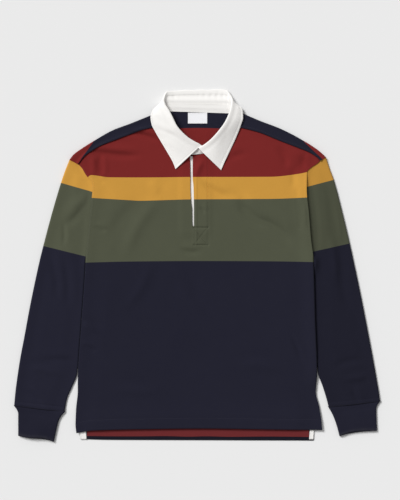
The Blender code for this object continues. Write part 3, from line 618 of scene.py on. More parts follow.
def banded_colour(tree, bands):
    """A colour ramp with hard steps that reads the number held by each point."""
    reading = tree.nodes.new("ShaderNodeAttribute")
    reading.attribute_name = "band"
    steps = tree.nodes.new("ShaderNodeValToRGB")
    steps.color_ramp.interpolation = "CONSTANT"
    tree.links.new(math_node(tree, "DIVIDE", reading.outputs["Fac"], BAND_SCALE), steps.inputs[0])
    stops = steps.color_ramp.elements
    stops[0].position, stops[0].color = 0, (*bands[0], 1)
    stops[1].position, stops[1].color = 1 / BAND_SCALE, (*bands[1], 1)
    for number, band in enumerate(bands[2:], start=2):
        stops.new(number / BAND_SCALE).color = (*band, 1)
    return steps.outputs[0]


print("a ramp of", len(BANDS), "bands reads the numbers 0 to", BAND_SCALE)

# %% A cloth from its parts
SHEEN_ROUGHNESS = 0.5
COTTON_SPECULAR = 0.12


def cloth_material(name, colour, threads, pitch, relief, mottle, wear_and_highlight, roughness, sheen, painted_light=1.0):
    """A cloth: a plain colour, or None for the knitted bands, under thread, mottle and wear with a
    painted highlight; painted_light scales the bands: above 1 a painted highlight, below 1 a painted
    shade.
    """
    material = bpy.data.materials.new(name)
    material.use_nodes = True
    tree = material.node_tree
    shader = tree.nodes["Principled BSDF"]
    shader.inputs["Sheen Weight"].default_value = sheen
    shader.inputs["Sheen Roughness"].default_value = SHEEN_ROUGHNESS
    shader.inputs["Specular IOR Level"].default_value = COTTON_SPECULAR
    thread = place_group(tree, threads, Pitch=pitch * MM, Relief=relief)
    shade = place_group(tree, MOTTLE, Amount=mottle, Roughness=roughness)
    worn_and_lit = place_group(tree, WEAR_AND_HIGHLIGHT, Amount=wear_and_highlight)
    # With no colour the bands are scaled by painted_light: a painted highlight above 1, a painted
    # shade below 1.
    if colour is None:
        bands = [tuple(min(1, painted_light * part) for part in band) for band in BANDS]
        tree.links.new(banded_colour(tree, bands), shade.inputs["Colour"])
    else:
        shade.inputs["Colour"].default_value = (*colour, 1)
    tree.links.new(thread.outputs["Mask"], shade.inputs["Threads"])
    tree.links.new(shade.outputs["Colour"], worn_and_lit.inputs["Colour"])
    tree.links.new(shade.outputs["Roughness"], shader.inputs["Roughness"])
    tree.links.new(worn_and_lit.outputs[0], shader.inputs["Base Color"])
    tree.links.new(thread.outputs["Normal"], shader.inputs["Normal"])
    return material


print("cotton: specular", COTTON_SPECULAR, "and sheen roughness", SHEEN_ROUGHNESS)

# %% [markdown]
# ### The shirt's cloths
# Body and sleeves are the same jersey. Each sleeve has its own copy of it with painted light: the
# left sleeve's colours are a little paler than the body's, a painted highlight for the side that
# faces the light, and the right one's a little darker, a painted shade. The collar is a smooth white
# cloth, the tapes are twill, and the cuffs are rib knit in navy.

# %% The shirt's cloths
JERSEY_FINISH = dict(threads=KNIT, pitch=1.6, relief=0.5, mottle=0.14, wear_and_highlight=0.03, roughness=0.92,
                     sheen=0.03)
# Painted light on the sleeves: the left one paler, a painted highlight, the right one darker, a
# painted shade.
SLEEVE_PAINTED_LIGHT = {"left": 1.06, "right": 0.83}
JERSEY_CLOTH = cloth_material("banded_jersey", None, **JERSEY_FINISH)
SLEEVE_JERSEY_PAINTED_LIGHT = {side: cloth_material("banded_jersey_painted_light_" + side, None, **JERSEY_FINISH, painted_light=painted_light)
                 for side, painted_light in SLEEVE_PAINTED_LIGHT.items()}
RIB_KNIT = cloth_material("navy_rib", NAVY, threads=KNIT, pitch=1.3, relief=0.5, mottle=0.16,
                          wear_and_highlight=0.035, roughness=0.92, sheen=0.03)
COLLAR_WEAVE = cloth_material("white_collar_cloth", WHITE, threads=WEAVE, pitch=0.9, relief=0.35,
                              mottle=0.05, wear_and_highlight=0.0, roughness=0.85, sheen=0.05)
WHITE_TWILL = cloth_material("white_twill", WHITE, threads=WEAVE, pitch=1.1, relief=0.5,
                             mottle=0.06, wear_and_highlight=0.0, roughness=0.85, sheen=0.05)
RED_TWILL = cloth_material("red_twill", TAPE_RED, threads=WEAVE, pitch=1.1, relief=0.5,
                           mottle=0.12, wear_and_highlight=0.05, roughness=0.88, sheen=0.05)
LABEL_WEAVE = cloth_material("label_weave", LABEL_WHITE, threads=WEAVE, pitch=0.5, relief=0.2,
                             mottle=0.03, wear_and_highlight=0.0, roughness=0.6, sheen=0.0)
print("cloths of the collar, tapes and label:",
      [cloth.name for cloth in (COLLAR_WEAVE, WHITE_TWILL, RED_TWILL, LABEL_WEAVE)])

# %% [markdown]
# ## Making a sheet
# Every panel is a grid of points joined by quads, given its wall by Solidify, which is how cloth
# of an even thickness is best made: one surface to shape, and no second one to keep beside it. It
# rides on the shirt's only body. A crisp piece gets its wall at once, as a finished mesh whose
# rims stay sharp; the others keep Solidify as a modifier.

# %% Grid and area
def grid(rows, columns, first=0):
    """Quads of a grid of points numbered row by row."""
    return [(first + r * columns + c, first + r * columns + c + 1,
             first + (r + 1) * columns + c + 1, first + (r + 1) * columns + c)
            for r in range(rows - 1) for c in range(columns - 1)]


def flat_area(points, faces):
    """Area of the sheet in square metres."""
    quads = np.array([face if len(face) == 4 else (*face, face[-1]) for face in faces])
    corners = np.asarray(points)[quads] * MM
    first = np.cross(corners[:, 1] - corners[:, 0], corners[:, 2] - corners[:, 0])
    second = np.cross(corners[:, 2] - corners[:, 0], corners[:, 3] - corners[:, 0])
    return float((np.linalg.norm(first, axis=1) + np.linalg.norm(second, axis=1)).sum() / 2)


print("a grid of 3 by 4 points has", len(grid(3, 4)), "quads")

# %% A sheet with its wall
RIM_ANGLE = math.radians(50)


def make_piece(name, points, faces, wall, material, band=0.0, rim=0.0, even=True,
               crisp=False):
    """A mesh from points in millimetres, with its wall, material and point values."""
    mesh = bpy.data.meshes.new(name)
    mesh.from_pydata((np.asarray(points) * MM).tolist(), [], faces)
    mesh.polygons.foreach_set("use_smooth", [True] * len(mesh.polygons))
    for label, values in (("band", band), ("rim", rim)):
        column = mesh.attributes.new(label, "FLOAT", "POINT")
        column.data.foreach_set("value", np.broadcast_to(values, len(mesh.vertices)).astype(float))
    mesh.materials.append(material)
    piece = bpy.data.objects.new(name, mesh)
    bpy.context.scene.collection.objects.link(piece)
    if wall:
        solid = piece.modifiers.new("Wall", "SOLIDIFY")
        solid.thickness = wall * MM
        solid.offset = 0
        solid.use_even_offset = even
    if crisp:
        walled = bpy.data.meshes.new_from_object(
            piece.evaluated_get(bpy.context.evaluated_depsgraph_get()))
        piece.modifiers.clear()
        piece.data = walled
        walled.name = name
        walled.set_sharp_from_angle(angle=RIM_ANGLE)
    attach(piece, "root")
    return piece


def report(piece, points, faces):
    """Prints what a sheet measures."""
    print(piece.name, "points", len(points), "area", round(flat_area(points, faces), 4), "m2")


print("a rim stays sharp above", round(math.degrees(RIM_ANGLE)), "degrees")

# %% [markdown]
# ## Front panel
# The grid's columns run from hem to shoulder. They crowd together at the sides, where the cloth
# turns over its fold, and beside the placket, where a row of stitches presses a groove. Above the
# end of the placket one column is doubled, and its two copies part: that is the slit. A knife or
# a boolean could cut it too, but a doubled column leaves every quad whole.

# %% Placing the points of a panel
FOLD_STEPS = np.array((0.0, 0.35, 0.8, 1.4, 2.1, 3.0, 4.3, 6.2, 9.0))


def spaced(start, end, step):
    """Even places from start to end, both included, about a step apart."""
    return np.linspace(start, end, max(2, round(abs(end - start) / step) + 1))


def panel_points(columns, left_y, right_y, bottom, top, panel):
    """Points of a panel between its side edges, its hem and its top line."""
    share = (columns - columns[0]) / (columns[-1] - columns[0])
    with_left, with_right = 1 - ramp(share, 0.05, 0.34), ramp(share, 0.66, 0.95)
    left_x, right_x = edge("left", left_y, panel), edge("right", right_y, panel)
    bottom_x = left_x[0] + share * (right_x[0] - left_x[0])
    points = []
    for low_left, low_right, left, right in zip(left_y, right_y, left_x, right_x):
        up = (low_left - left_y[0]) / (left_y[-1] - left_y[0])
        straight_left = left_x[0] + up * (columns[0] - left_x[0])
        straight_right = right_x[0] + up * (columns[-1] - right_x[0])
        straight_y = right_y[0] + up * (right_y[-1] - right_y[0])
        x = ((1 - up) * bottom_x + up * columns + with_left * (left - straight_left)
             + with_right * (right - straight_right))
        y = (1 - up) * bottom + up * top + with_right * (low_right - straight_y)
        points.append(np.column_stack([x, y]))
    return np.array(points)


print("steps in from a fold", FOLD_STEPS.tolist(), "mm")

# %% [markdown]
# ## Lines between the bands
# The stripes were knitted straight and bow a little where the cloth was pulled as it was laid
# down. Each line between two colours is a short table, and a point's band number rises by 1 as it
# passes a line. Bands cut by height alone would be simpler, but they would look printed on.

# %% Knitted bands
GREEN_LINE = table(
    "x y", (-292.0, 6.4), (-268.6, 7.0), (-161.8, 9.6), (6.2, 10.8), (174.2, 10.1), (290.0, 8.2))
MUSTARD_LINE = table(
    "x y", (-252.0, 162.0), (-161.8, 156.5), (-137.8, 155.3), (-17.8, 158.4), (174.2, 159.6),
    (263.0, 162.7))
RED_LINE = table(
    "x y", (-271.0, 202.0), (-263.8, 210.0), (-255.4, 216.8), (-209.8, 211.4), (-137.8, 211.0),
    (-17.8, 212.0), (174.2, 212.6), (246.2, 220.2), (263.0, 224.0))
BACK_NAVY = (330.0, 29.0, 246.0)
BAND_BLEND = 40.0


def band_at(y, lines):
    """Rises by 1 at each line, always at the same slope, so that a colour changes along it."""
    return 0.5 + sum(np.clip(0.5 + (y - line) / BAND_BLEND, 0, 1) for line in lines)


def body_band(x, y, back=False):
    """Passes 1, 2 and 3 where the front's colour changes, and 4 where the back turns navy."""
    lines = [fair(line["x"], line["y"], x) for line in (GREEN_LINE, MUSTARD_LINE, RED_LINE)]
    if back:
        lines.append(BACK_NAVY[0] - BACK_NAVY[1] * (x / BACK_NAVY[2]) ** 2)
    return band_at(y, lines)


print("band number at the chest", float(body_band(0.0, 100.0)))

# %% [markdown]
# ## Sewing that presses the front
# Doubled cloth stands higher, and a row of stitches presses a groove into it: at the hem, along
# the fly and round the box with a cross that holds the foot of the placket. Sculpting them by
# hand would never give lines so even, so each is a distance to a line, added to the height.

# %% Grooves and doubled cloth
JERSEY = 1.3
SLIT_X = -10.6
FLY_STITCH_X = 24.7
FLY_RIDGE_X = -2.6
BOX = (48.9, 90.6)
BOX_X = (-8.0, 25.0)
HEM_STITCH = 24.5


def groove(distance, width, depth):
    """A pressed line, deepest at no distance."""
    return -depth * fading(distance, width)


def front_relief(x, y):
    """Doubled cloth below the hem stitches and along the fly, with pressed stitch lines."""
    above = y - front_hem(x)
    turned = 0.5 * (1 - ramp(above, 22, 26)) + groove(above - HEM_STITCH, 1.8, 0.5)
    on_fly = ramp(x, SLIT_X - 4, SLIT_X + 1) * ramp(y, 44, 48) * (1 - ramp(x, 24, 26.5))
    fly = 0.6 * on_fly + groove(x - FLY_STITCH_X, 1.7, 0.7) * ramp(y, 40, 48)
    fly = fly - groove(x - FLY_RIDGE_X, 2.2, 0.9) * ramp(y, 44, 52) * (1 - ramp(y, 190, 240))
    boxed = ramp(x, BOX_X[0] - 5, BOX_X[0]) * (1 - ramp(x, BOX_X[1], BOX_X[1] + 3))
    fly = fly + boxed * (groove(y - BOX[1], 2.0, 2.3) + groove(y - BOX[0], 2.0, 2.3))
    within = boxed * ramp(y, BOX[0], BOX[0] + 5) * (1 - ramp(y, BOX[1] - 5, BOX[1]))
    rising = BOX_X[0] + (y - BOX[0]) / (BOX[1] - BOX[0]) * (BOX_X[1] - BOX_X[0])
    crossed = groove(x - rising, 2.0, 0.8) + groove(x + rising - sum(BOX_X), 2.0, 1.9)
    return turned + fly + within * crossed


print("the cross presses", round(float(-front_relief(8.5, 69.75)), 1), "mm in at its middle")

# %% [markdown]
# The front's rows and columns are only as close as they need to be: fine at the folds, the hem,
# the fly and the slit, and about 4 mm apart elsewhere. An even fine grid would be simpler, but it
# would have many times the points.

# %% Rows and columns of the front
FRONT_STEP = 4.0
FLY_STEP = 1.4
BY_SLIT = (-16.0, 27.6)
SLIT_SHARE = 0.737
FRONT_ROWS = ((0, 0.036, 0.0045), (0.036, 0.655, 0.0058), (0.655, SLIT_SHARE, 0.002),
              (SLIT_SHARE, 0.748, 0.002), (0.748, 1, 0.0055))


def front_columns():
    """Places of the columns along the shoulder seams, close at the folds and by the slit."""
    left = SIDE_EDGE["left"]["x"][-1] + FOLD_STEPS
    right = SIDE_EDGE["right"]["x"][-1] - FOLD_STEPS[::-1]
    return np.concatenate([left, spaced(left[-1], BY_SLIT[0], FRONT_STEP)[1:],
                           spaced(BY_SLIT[0], SLIT_X, FLY_STEP)[1:],
                           spaced(SLIT_X, BY_SLIT[1], FLY_STEP)[1:],
                           spaced(BY_SLIT[1], right[0], FRONT_STEP)[1:], right[1:]])


def front_shares():
    """How far up each row lies, 0 to 1, close at the hem and at the foot of the placket."""
    return np.unique(np.round(np.concatenate([spaced(*rows) for rows in FRONT_ROWS]), 6))


print("front:", len(front_shares()), "rows of", len(front_columns()), "points")

# %% The slit
SLIT_LIPS = table(
    "share left right",
    (0.0, 0.9, 0.9), (0.02, 0.1, 1.6), (0.05, -1.2, 2.5), (0.15, -2.0, 2.5), (0.3, -2.4, 2.5),
    (0.4, -4.4, 2.3), (0.6, -6.2, 1.2), (0.7, -6.2, -0.5), (0.85, -6.6, -0.5), (1.0, -7.4, -0.5))


def part_lips(places, columns, slit, start):
    """Moves the cloth aside on both sides of the slit, and gives the points of its right lip."""
    opened = np.linspace(0, 1, len(places) - start)
    gone_left, gone_right = (fair(SLIT_LIPS["share"], SLIT_LIPS[side], opened) for side in OUTWARD)
    right_lip = places[start + 1:, slit].copy()
    right_lip[:, 0] += gone_right[1:]
    beside_left = 1 - ramp(SLIT_X - columns[:slit + 1], 0, 80)
    beside_right = 1 - ramp(columns[slit + 1:] - SLIT_X, 0, 34)
    places[start:, :slit + 1, 0] += gone_left[:, None] * beside_left
    places[start:, slit + 1:, 0] += gone_right[:, None] * beside_right
    return right_lip


def slit_faces(rows, columns, slit, start):
    """Quads of the front; to the right of the slit they hold on to the right lip."""
    faces = []
    for number, face in enumerate(grid(rows, columns)):
        r, c = divmod(number, columns - 1)
        if c == slit and r >= start:
            lip = rows * columns + r - start
            face = (face[0] if r == start else lip - 1, face[1], face[2], lip)
        faces.append(face)
    return faces


print("the slit opens", round(float((SLIT_LIPS["right"] - SLIT_LIPS["left"]).max()), 1), "mm at most")

# %% Build the front
LIT_EDGE_REACH = 2.2


def build_front():
    """The front panel on the body's upper layer, open at the slit."""
    columns, shares = front_columns(), front_shares()
    share = (columns - columns[0]) / (columns[-1] - columns[0])
    hem_left, hem_right = (SIDE_EDGE[side]["x"][0] for side in OUTWARD)
    hem = front_hem(hem_left + share * (hem_right - hem_left))
    places = panel_points(columns, side_levels("left", shares), side_levels("right", shares), hem,
                          front_top(columns), "front")
    slit = int(np.argmin(np.abs(columns - SLIT_X)))
    start = int(np.argmin(np.abs(shares - SLIT_SHARE)))
    right_lip = part_lips(places, columns, slit, start)
    places[-1, :slit + 1, 1] = front_top(places[-1, :slit + 1, 0])
    places[-1, 0] = (SIDE_EDGE["left"]["x"][-1], SIDE_EDGE["left"]["y"][-1])
    flat = np.concatenate([places.reshape(-1, 2), right_lip])
    x, y = flat.T
    upper, _ = body_heights(x, y)
    points = np.column_stack([flat, upper + front_relief(x, y)])
    faces = slit_faces(len(shares), len(columns), slit, start)
    inside = np.minimum(x - edge("left", y), edge("right", y) - x)
    # The rim along the front's left edge, from the armhole up, is a painted highlight: that edge faces
    # the light.
    piece = make_piece("front_cloth", points, faces, JERSEY, JERSEY_CLOTH,
                       band=body_band(x, y),
                       rim=fading(inside, LIT_EDGE_REACH) * (x < 0) * ramp(y, 8, 24))
    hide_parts("front")
    report(piece, points, faces)
    return piece


front_piece = build_front()

# %% [markdown]
# ## Back panel
# The back lies on the floor, so it only needs fine points near its edges. Past each shoulder fold
# it goes on as a strip, down to the seam on the front. Its bands are the same, with navy again
# above the red. The strips could be pieces of their own, but then a gap would show along the
# fold, so they start from the panel's own last row of points.

# %% Shoulder strips
BACK_STEP = 6.0
BACK_HEM_SLANT = 0.003
HEM_RISE = 1.4
STRIP_STEPS = np.array((0.0, 0.012, 0.03, 0.06, 0.1, 0.16, 0.23, 0.31, 0.4, 0.5, 0.6, 0.7, 0.8,
                        0.88, 0.94, 1.0))
STRIP_NAVY = {"left": ((-250.5, 294.5), (-284.0, 246.0)), "right": ((244.6, 306.5), (292.6, 260.6))}
STRIP_OVERLAP = 1.6
STRIP_EDGE = 2.6


def strip_faces(fold_start, start, rows, columns):
    """Quads from a row of the panel's points on through the strip's own rows."""
    faces = []
    for row in range(rows):
        below = fold_start if row == 0 else start + (row - 1) * columns
        above = start + row * columns
        faces += [(below + c, below + c + 1, above + c + 1, above + c) for c in range(columns - 1)]
    return faces


def strip_band(x, y, side):
    """Navy towards the neck and red towards the tip, with the line slanting across the strip."""
    (x0, y0), (x1, y1) = STRIP_NAVY[side]
    off = ((x - x0) * (y1 - y0) - (y - y0) * (x1 - x0)) / math.hypot(x1 - x0, y1 - y0)
    return 4 + np.clip(OUTWARD[side] * off / BAND_BLEND, -0.8, 0.8)


def crowded(start, end, count=None):
    """Columns crowded at the side edge: as many as told, or else BACK_STEP apart."""
    near = start + (1 if end > start else -1) * FOLD_STEPS
    if count is None:
        return np.concatenate([near[:-1], spaced(near[-1], end, BACK_STEP)])
    return np.concatenate([near[:-1], np.linspace(near[-1], end, count - len(near) + 1)])


def shoulder_strip(seam, stations, fold):
    """Places and heights of a strip from the shoulder fold down to its seam on the front."""
    landing = np.column_stack([stations, fair(seam["x"], seam["y"], stations)])
    landing[:, 1] -= STRIP_OVERLAP * ramp(np.abs(stations - stations[0]), 0, 20) * ramp(
        np.abs(stations - stations[-1]), 0, 20)
    strip = fold[None] + STRIP_STEPS[1:, None, None] * (landing - fold)[None]
    upper, _ = body_heights(strip[..., 0], strip[..., 1], "back")
    reach = np.linalg.norm(landing - fold, axis=1)[None]
    upper += STRIP_EDGE * (1 - ramp((1 - STRIP_STEPS[1:, None]) * reach, 2.0, 8.0))
    return strip, upper


print("rows in a shoulder strip", len(STRIP_STEPS) - 1)

# %% Heights of the back's rows
def back_levels(shares):
    """Heights along both side edges, from the hem up to the tips of the shoulders."""
    levels = {}
    for side, tip in TIP.items():
        shared = side_levels(side, shares)
        reach = tip[1] - shared[-1]
        near_tip = tip[1] - reach * 0.9 * FOLD_STEPS[::-1] / FOLD_STEPS[-1]
        levels[side] = np.concatenate([[BACK_HEM], shared, near_tip])
    return levels


print("rows of the back", len(back_levels(spaced(0, 1, 0.009)[1:])["left"]))

# %% Build the back
def build_back():
    """The back panel on the floor, with its two shoulder strips on the front."""
    left = crowded(TIP["left"][0], -FOLD_FULL)
    right = crowded(TIP["right"][0], FOLD_FULL)[::-1]
    columns = np.concatenate([left, spaced(-FOLD_FULL, FOLD_FULL, BACK_STEP)[1:-1], right])
    levels = back_levels(spaced(0, 1, 0.009)[1:])
    rows, count = len(levels["left"]), len(columns)
    from_left = columns - columns[0]
    hem = BACK_HEM - BACK_HEM_SLANT * from_left + HEM_RISE * fading(from_left, 45)
    places = panel_points(columns, levels["left"], levels["right"], hem, back_top(columns), "back")
    _, lower = body_heights(places[..., 0], places[..., 1], "back")
    x, y = places.reshape(-1, 2).T
    points = [np.column_stack([x, y, lower.ravel()])]
    bands = [body_band(x, y, back=True)]
    faces = grid(rows, count)
    top_row = (rows - 1) * count
    stations = {
        "left": crowded(SIDE_EDGE["left"]["x"][-1], SHOULDER_SEAM["left"]["x"][-1], len(left)),
        "right": crowded(SIDE_EDGE["right"]["x"][-1], SHOULDER_SEAM["right"]["x"][0],
                         len(right))[::-1]}
    for side, first in (("left", 0), ("right", count - len(right))):
        fold = places[-1, first:first + len(stations[side])]
        strip, upper = shoulder_strip(SHOULDER_SEAM[side], stations[side], fold)
        start = sum(len(block) for block in points)
        points.append(np.column_stack([strip.reshape(-1, 2), upper.ravel()]))
        bands.append(strip_band(*strip.reshape(-1, 2).T, side))
        faces += strip_faces(top_row + first, start, len(STRIP_STEPS) - 1, len(fold))
    points = np.concatenate(points)
    piece = make_piece("back_cloth", points, faces, JERSEY, JERSEY_CLOTH,
                       band=np.concatenate(bands))
    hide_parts("back")
    report(piece, points, faces)
    return piece


back_piece = build_back()

# %% [markdown]
# ## Sleeves
# A sleeve is a tube pressed flat: each section runs from the inner fold across the top to the
# outer fold and back underneath. Along the armhole the tube is open, and its edge lies just under
# the lip of the body, which is the seam that shows. A round tube could be squashed flat by a
# simulation, but its folds would wander; here they are read from the tables. Below the tables,
# TUCK is how far the edge slips under the body, LIP_DROP how much lower it lies there, and WELT
# and END_LIFT how far the seam above the cuff stands up.

# %% Sleeve tables
SLEEVES = {
    "left": table(
        "inner_x inner_y outer_x outer_y",
        (-285.4, 242.4, -306.3, 252.8), (-263.8, 210.0, -316.6, 226.8),
        (-252.2, 176.4, -326.4, 198.0), (-256.6, 104.4, -348.4, 123.6),
        (-267.8, 21.6, -368.8, 46.8), (-269.8, -5.8, -376.6, 15.6),
        (-275.8, -94.8, -397.8, -82.8), (-282.8, -190.8, -414.9, -174.0),
        (-289.3, -259.7, -424.0, -222.0), (-302.6, -294.0, -430.7, -265.2),
        (-313.4, -320.4, -436.0, -306.0), (-319.1, -350.9, -438.6, -336.2)),
    "right": table(
        "inner_x inner_y outer_x outer_y",
        (294.2, 250.8, 307.7, 258.8), (266.6, 228.0, 316.0, 232.8),
        (263.5, 187.2, 326.2, 205.2), (269.3, 111.6, 346.6, 128.4),
        (275.8, 32.4, 364.6, 52.8), (279.4, 4.0, 372.2, 18.0),
        (284.6, -94.8, 393.3, -82.8), (286.8, -186.0, 413.3, -186.0),
        (289.6, -254.4, 423.5, -241.2), (301.8, -291.6, 430.2, -279.6),
        (309.8, -318.0, 435.0, -308.4), (315.5, -340.1, 437.0, -325.7))}
SLEEVE_CREASES = table(
    "x0 y0 x1 y1 bow width height",
    (-304.0, 108.0, -258.0, 150.0, -6.0, 9.0, -0.6),
    (-300.0, 142.0, -262.0, 176.0, -4.0, 11.0, 0.6),
    (-354.0, 22.0, -336.0, -76.0, 5.0, 9.0, -1.0),
    (-318.0, 14.0, -312.0, -96.0, 3.0, 9.0, -0.9),
    (-366.0, -226.0, -284.0, -232.0, 3.0, 7.0, -0.7),
    (-400.0, -246.0, -330.0, -262.0, 4.0, 8.0, 0.9),
    (270.0, 196.0, 288.0, 40.0, 3.0, 6.0, -1.5),
    (300.0, 190.0, 312.0, 50.0, 2.0, 9.0, 0.4),
    (330.0, 158.0, 345.0, 54.0, 2.0, 6.0, 0.5),
    (-318.0, 95.0, -272.0, 143.0, -5.0, 10.0, -0.7),
    (-322.0, 98.0, -320.0, 52.0, 2.0, 5.0, -0.9),
    (-274.0, 112.0, -270.0, 96.0, 0.0, 4.0, -0.8),
    (346.0, 10.0, 362.0, -110.0, -5.0, 10.0, -0.9),
    (318.0, 66.0, 330.0, -40.0, 4.0, 9.0, 0.9),
    (398.0, -226.0, 330.0, -240.0, -4.0, 8.0, -0.7),
    (408.0, -262.0, 350.0, -270.0, 3.0, 7.0, 0.9),
    (-410.0, -300.0, -372.0, -334.0, 3.0, 6.0, -0.9),
    (372.0, -296.0, 390.0, -328.0, -3.0, 6.0, -0.9))
SLEEVE_BANDS = {"left": (21.6, 176.4), "right": (32.4, 187.2)}
BESIDE_BODY = -245.0
UNDERARM_Y = {"left": -3.6, "right": 4.45}
TUCK = {"left": 1.2, "right": 4.0}
LIP_DROP = {"left": 1.3, "right": 5.6}
END_LIFT = 0.6
SLEEVE_PUFF = 2.8
WELT = {"left": 1.1, "right": 0.6}
SEAM_DROP = {"left": 8.0, "right": 10.0}
SLEEVE_LIFT = 3.4
SLEEVE_SPREAD = 20.0
print("creases on the sleeves", len(SLEEVE_CREASES["height"]))

# %% Edge and height of a sleeve
def armhole_side(side, y, way):
    """Points along the body's edge, a little under it at the armhole and clear of it below."""
    x = edge(side, y)
    slope = np.gradient(x, y)
    normal = np.column_stack([np.full(len(y), way), -way * slope])
    normal /= np.linalg.norm(normal, axis=1)[:, None]
    clear = -TUCK[side] + (TUCK[side] + JERSEY + 0.2) * (1 - ramp(y, 10.0, 40.0))
    return np.column_stack([x, y]) + normal * clear[:, None]


def across(width, steps, middle):
    """Distances from one edge: close steps at both edges and even ones between."""
    near = steps * np.minimum(1, width / 60)
    return np.concatenate([near, np.linspace(near[-1], width - near[-1], middle + 2)[1:-1],
                           width - near[::-1]])


def sleeve_heights(place, distance, width, inner_y, row, side):
    """Upper and lower layer of a sleeve; at the armhole they lie under the body's lip."""
    inside = width - distance
    open_inside = 1 - ramp(inner_y, -30, 10)
    beside_body = ramp(inner_y, BESIDE_BODY - 10, BESIDE_BODY + 60)
    inner_lift = SLEEVE_LIFT * (0.5 if side == "left" else 0.75 * (1 - beside_body))
    from_end = inner_y - SLEEVES[side]["inner_y"][-1]
    own = (RESTING + SLEEVE_LIFT * fading(distance, SLEEVE_SPREAD)
           + inner_lift * fading(inside, SLEEVE_SPREAD) * open_inside
           + END_LIFT * fading(from_end, 14) * (1 + 0.6 * np.sin(distance / 9 + 0.7))
           + WELT[side] * fading(from_end - 5, 4) * (1 + 0.4 * np.sin(distance / 13))
           - 0.7 * WELT[side] * fading(from_end - 11.5, 1.8))
    body = open_height(place[:, 0], place[:, 1], np.zeros(len(place)))
    drop = LIP_DROP[side] * ramp(inner_y, 0, 30) * (1 - 0.75 * ramp(inner_y, 195, 225))
    lip = np.maximum(body - drop, RESTING)
    body_share = np.maximum((1 - open_inside) * fading(inside, SEAM_DROP[side]), fading(row, 5.0))
    closed = 1 - ramp(inner_y, 5.0, 30.0)
    side_closed = closed * (1 - rounded(inside))
    opened = own + (lip - own) * body_share
    upper, lower = layers(opened, rounded(distance) * (1 - side_closed))
    away = ramp(distance, 3, 16) * ramp(inside, 3, 18)
    puff = SLEEVE_PUFF * ramp(distance, 8, 45) * ramp(inside, 8, 45)
    air_above = away * above_floor(puff + 0.8 * unevenness(place[:, 0] + 90, place[:, 1])
                                   + crease_heights(place[:, 0], place[:, 1], SLEEVE_CREASES))
    return upper + air_above, lower


print("points across a sleeve", len(across(100.0, FOLD_STEPS, 26)))

# %% Build the sleeves
def build_sleeve(side):
    """A sleeve in rings from the armhole to the cuff's seam, open where it meets the body."""
    rows = SLEEVES[side]
    top_y, low_y = rows["inner_y"][0], rows["inner_y"][-1]
    armhole_y = top_y - np.concatenate([(0, 0.6, 1.5, 3, 5, 7.5),
                                        spaced(11, top_y - UNDERARM_Y[side], 4.5)])
    below_y = np.concatenate([spaced(armhole_y[-1], low_y + 17, 4.5)[1:],
                              spaced(low_y + 17, low_y, 1.5)[1:]])
    inner_y = np.concatenate([armhole_y, below_y])
    depth = -inner_y
    outer = np.column_stack([fair(-rows["inner_y"], rows[c], depth) for c in ("outer_x", "outer_y")])
    inner = armhole_side(side, inner_y, OUTWARD[side])
    leaving = ramp(depth, -BESIDE_BODY - 20, -BESIDE_BODY + 10)
    free_x = fair(-rows["inner_y"], rows["inner_x"], depth)
    inner[:, 0] += (free_x - inner[:, 0]) * leaving
    points, bands, rims = [], [], []
    for row, (out, inn) in enumerate(zip(outer, inner)):
        width = np.linalg.norm(inn - out)
        top = across(width, FOLD_STEPS, 26)
        bottom = across(width, FOLD_STEPS[::2], 8)[1:-1]
        for distance, layer in ((top[::-1], 0), (bottom, 1)):
            place = out + (inn - out) * (distance / width)[:, None]
            height = sleeve_heights(place, distance, width, inner_y[row], row, side)[layer]
            points.append(np.column_stack([place, height]))
            bands.append(np.full(len(distance), band_at(inner_y[row], SLEEVE_BANDS[side])))
            rims.append(np.full(len(distance), 1.0 if row == len(inner_y) - 1 else 0.0))
    count = len(top) + len(bottom)
    faces = grid(len(inner_y), count)
    closed = [row for row, y in enumerate(inner_y) if y <= armhole_y[-1] + 0.01]
    faces += [((r + 1) * count - 1, r * count, (r + 1) * count, (r + 2) * count - 1)
              for r in closed[:-1]]
    if side == "right":
        faces = [face[::-1] for face in faces]
    points = np.concatenate(points)
    piece = make_piece("sleeve_cloth_" + side, points, faces, JERSEY, SLEEVE_JERSEY_PAINTED_LIGHT[side],
                       band=np.concatenate(bands), rim=np.concatenate(rims))
    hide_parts("sleeve_" + side)
    report(piece, points, faces)


for side in OUTWARD:
    build_sleeve(side)

# %% [markdown]
# ## Cuffs
# The cuffs are rib knit: narrow ridges that run along the arm and draw the sleeve in. At this
# size the ribs are real relief, so the ring has points enough for each ridge. A bump in the
# material would be lighter, but it would leave the open end of the cuff a smooth line. Below the
# tables, the bow and the sway bend the line of that end, the opening lets the lower layer show
# below the upper one, and the mouth's lift raises its middle.

# %% Cuff tables
RIB = 1.8
CUFFS = {
    "left": table(
        "outer_x outer_y inner_x inner_y",
        (-437.4, -337.9, -320.4, -352.8), (-432.0, -345.6, -327.9, -361.7),
        (-428.8, -356.4, -333.6, -373.2), (-428.8, -380.4, -338.9, -394.8),
        (-428.8, -407.8, -344.7, -422.6)),
    "right": table(
        "outer_x outer_y inner_x inner_y",
        (436.3, -326.8, 316.0, -341.2), (430.8, -334.3, 321.4, -350.4),
        (428.1, -344.4, 326.8, -361.2), (428.6, -368.4, 334.6, -382.8),
        (430.0, -395.8, 341.6, -409.2))}
CUFF_LIFT = 2.6
RIBS = 40
RIB_RELIEF = 0.28
CUFF_TUCK = 2.6
CUFF_END_BOW = {"left": -0.6, "right": 2.8}
CUFF_END_SWAY = {"left": -2.0, "right": 0.0}
CUFF_SEAM_BOW = 2.2
CUFF_OPENING = 3.4
MOUTH_LIFT = {"left": 8.0, "right": 4.5}
CUFF_STEP = 0.16
CUFF_SPREAD = 16
print("ribs across a cuff", RIBS)

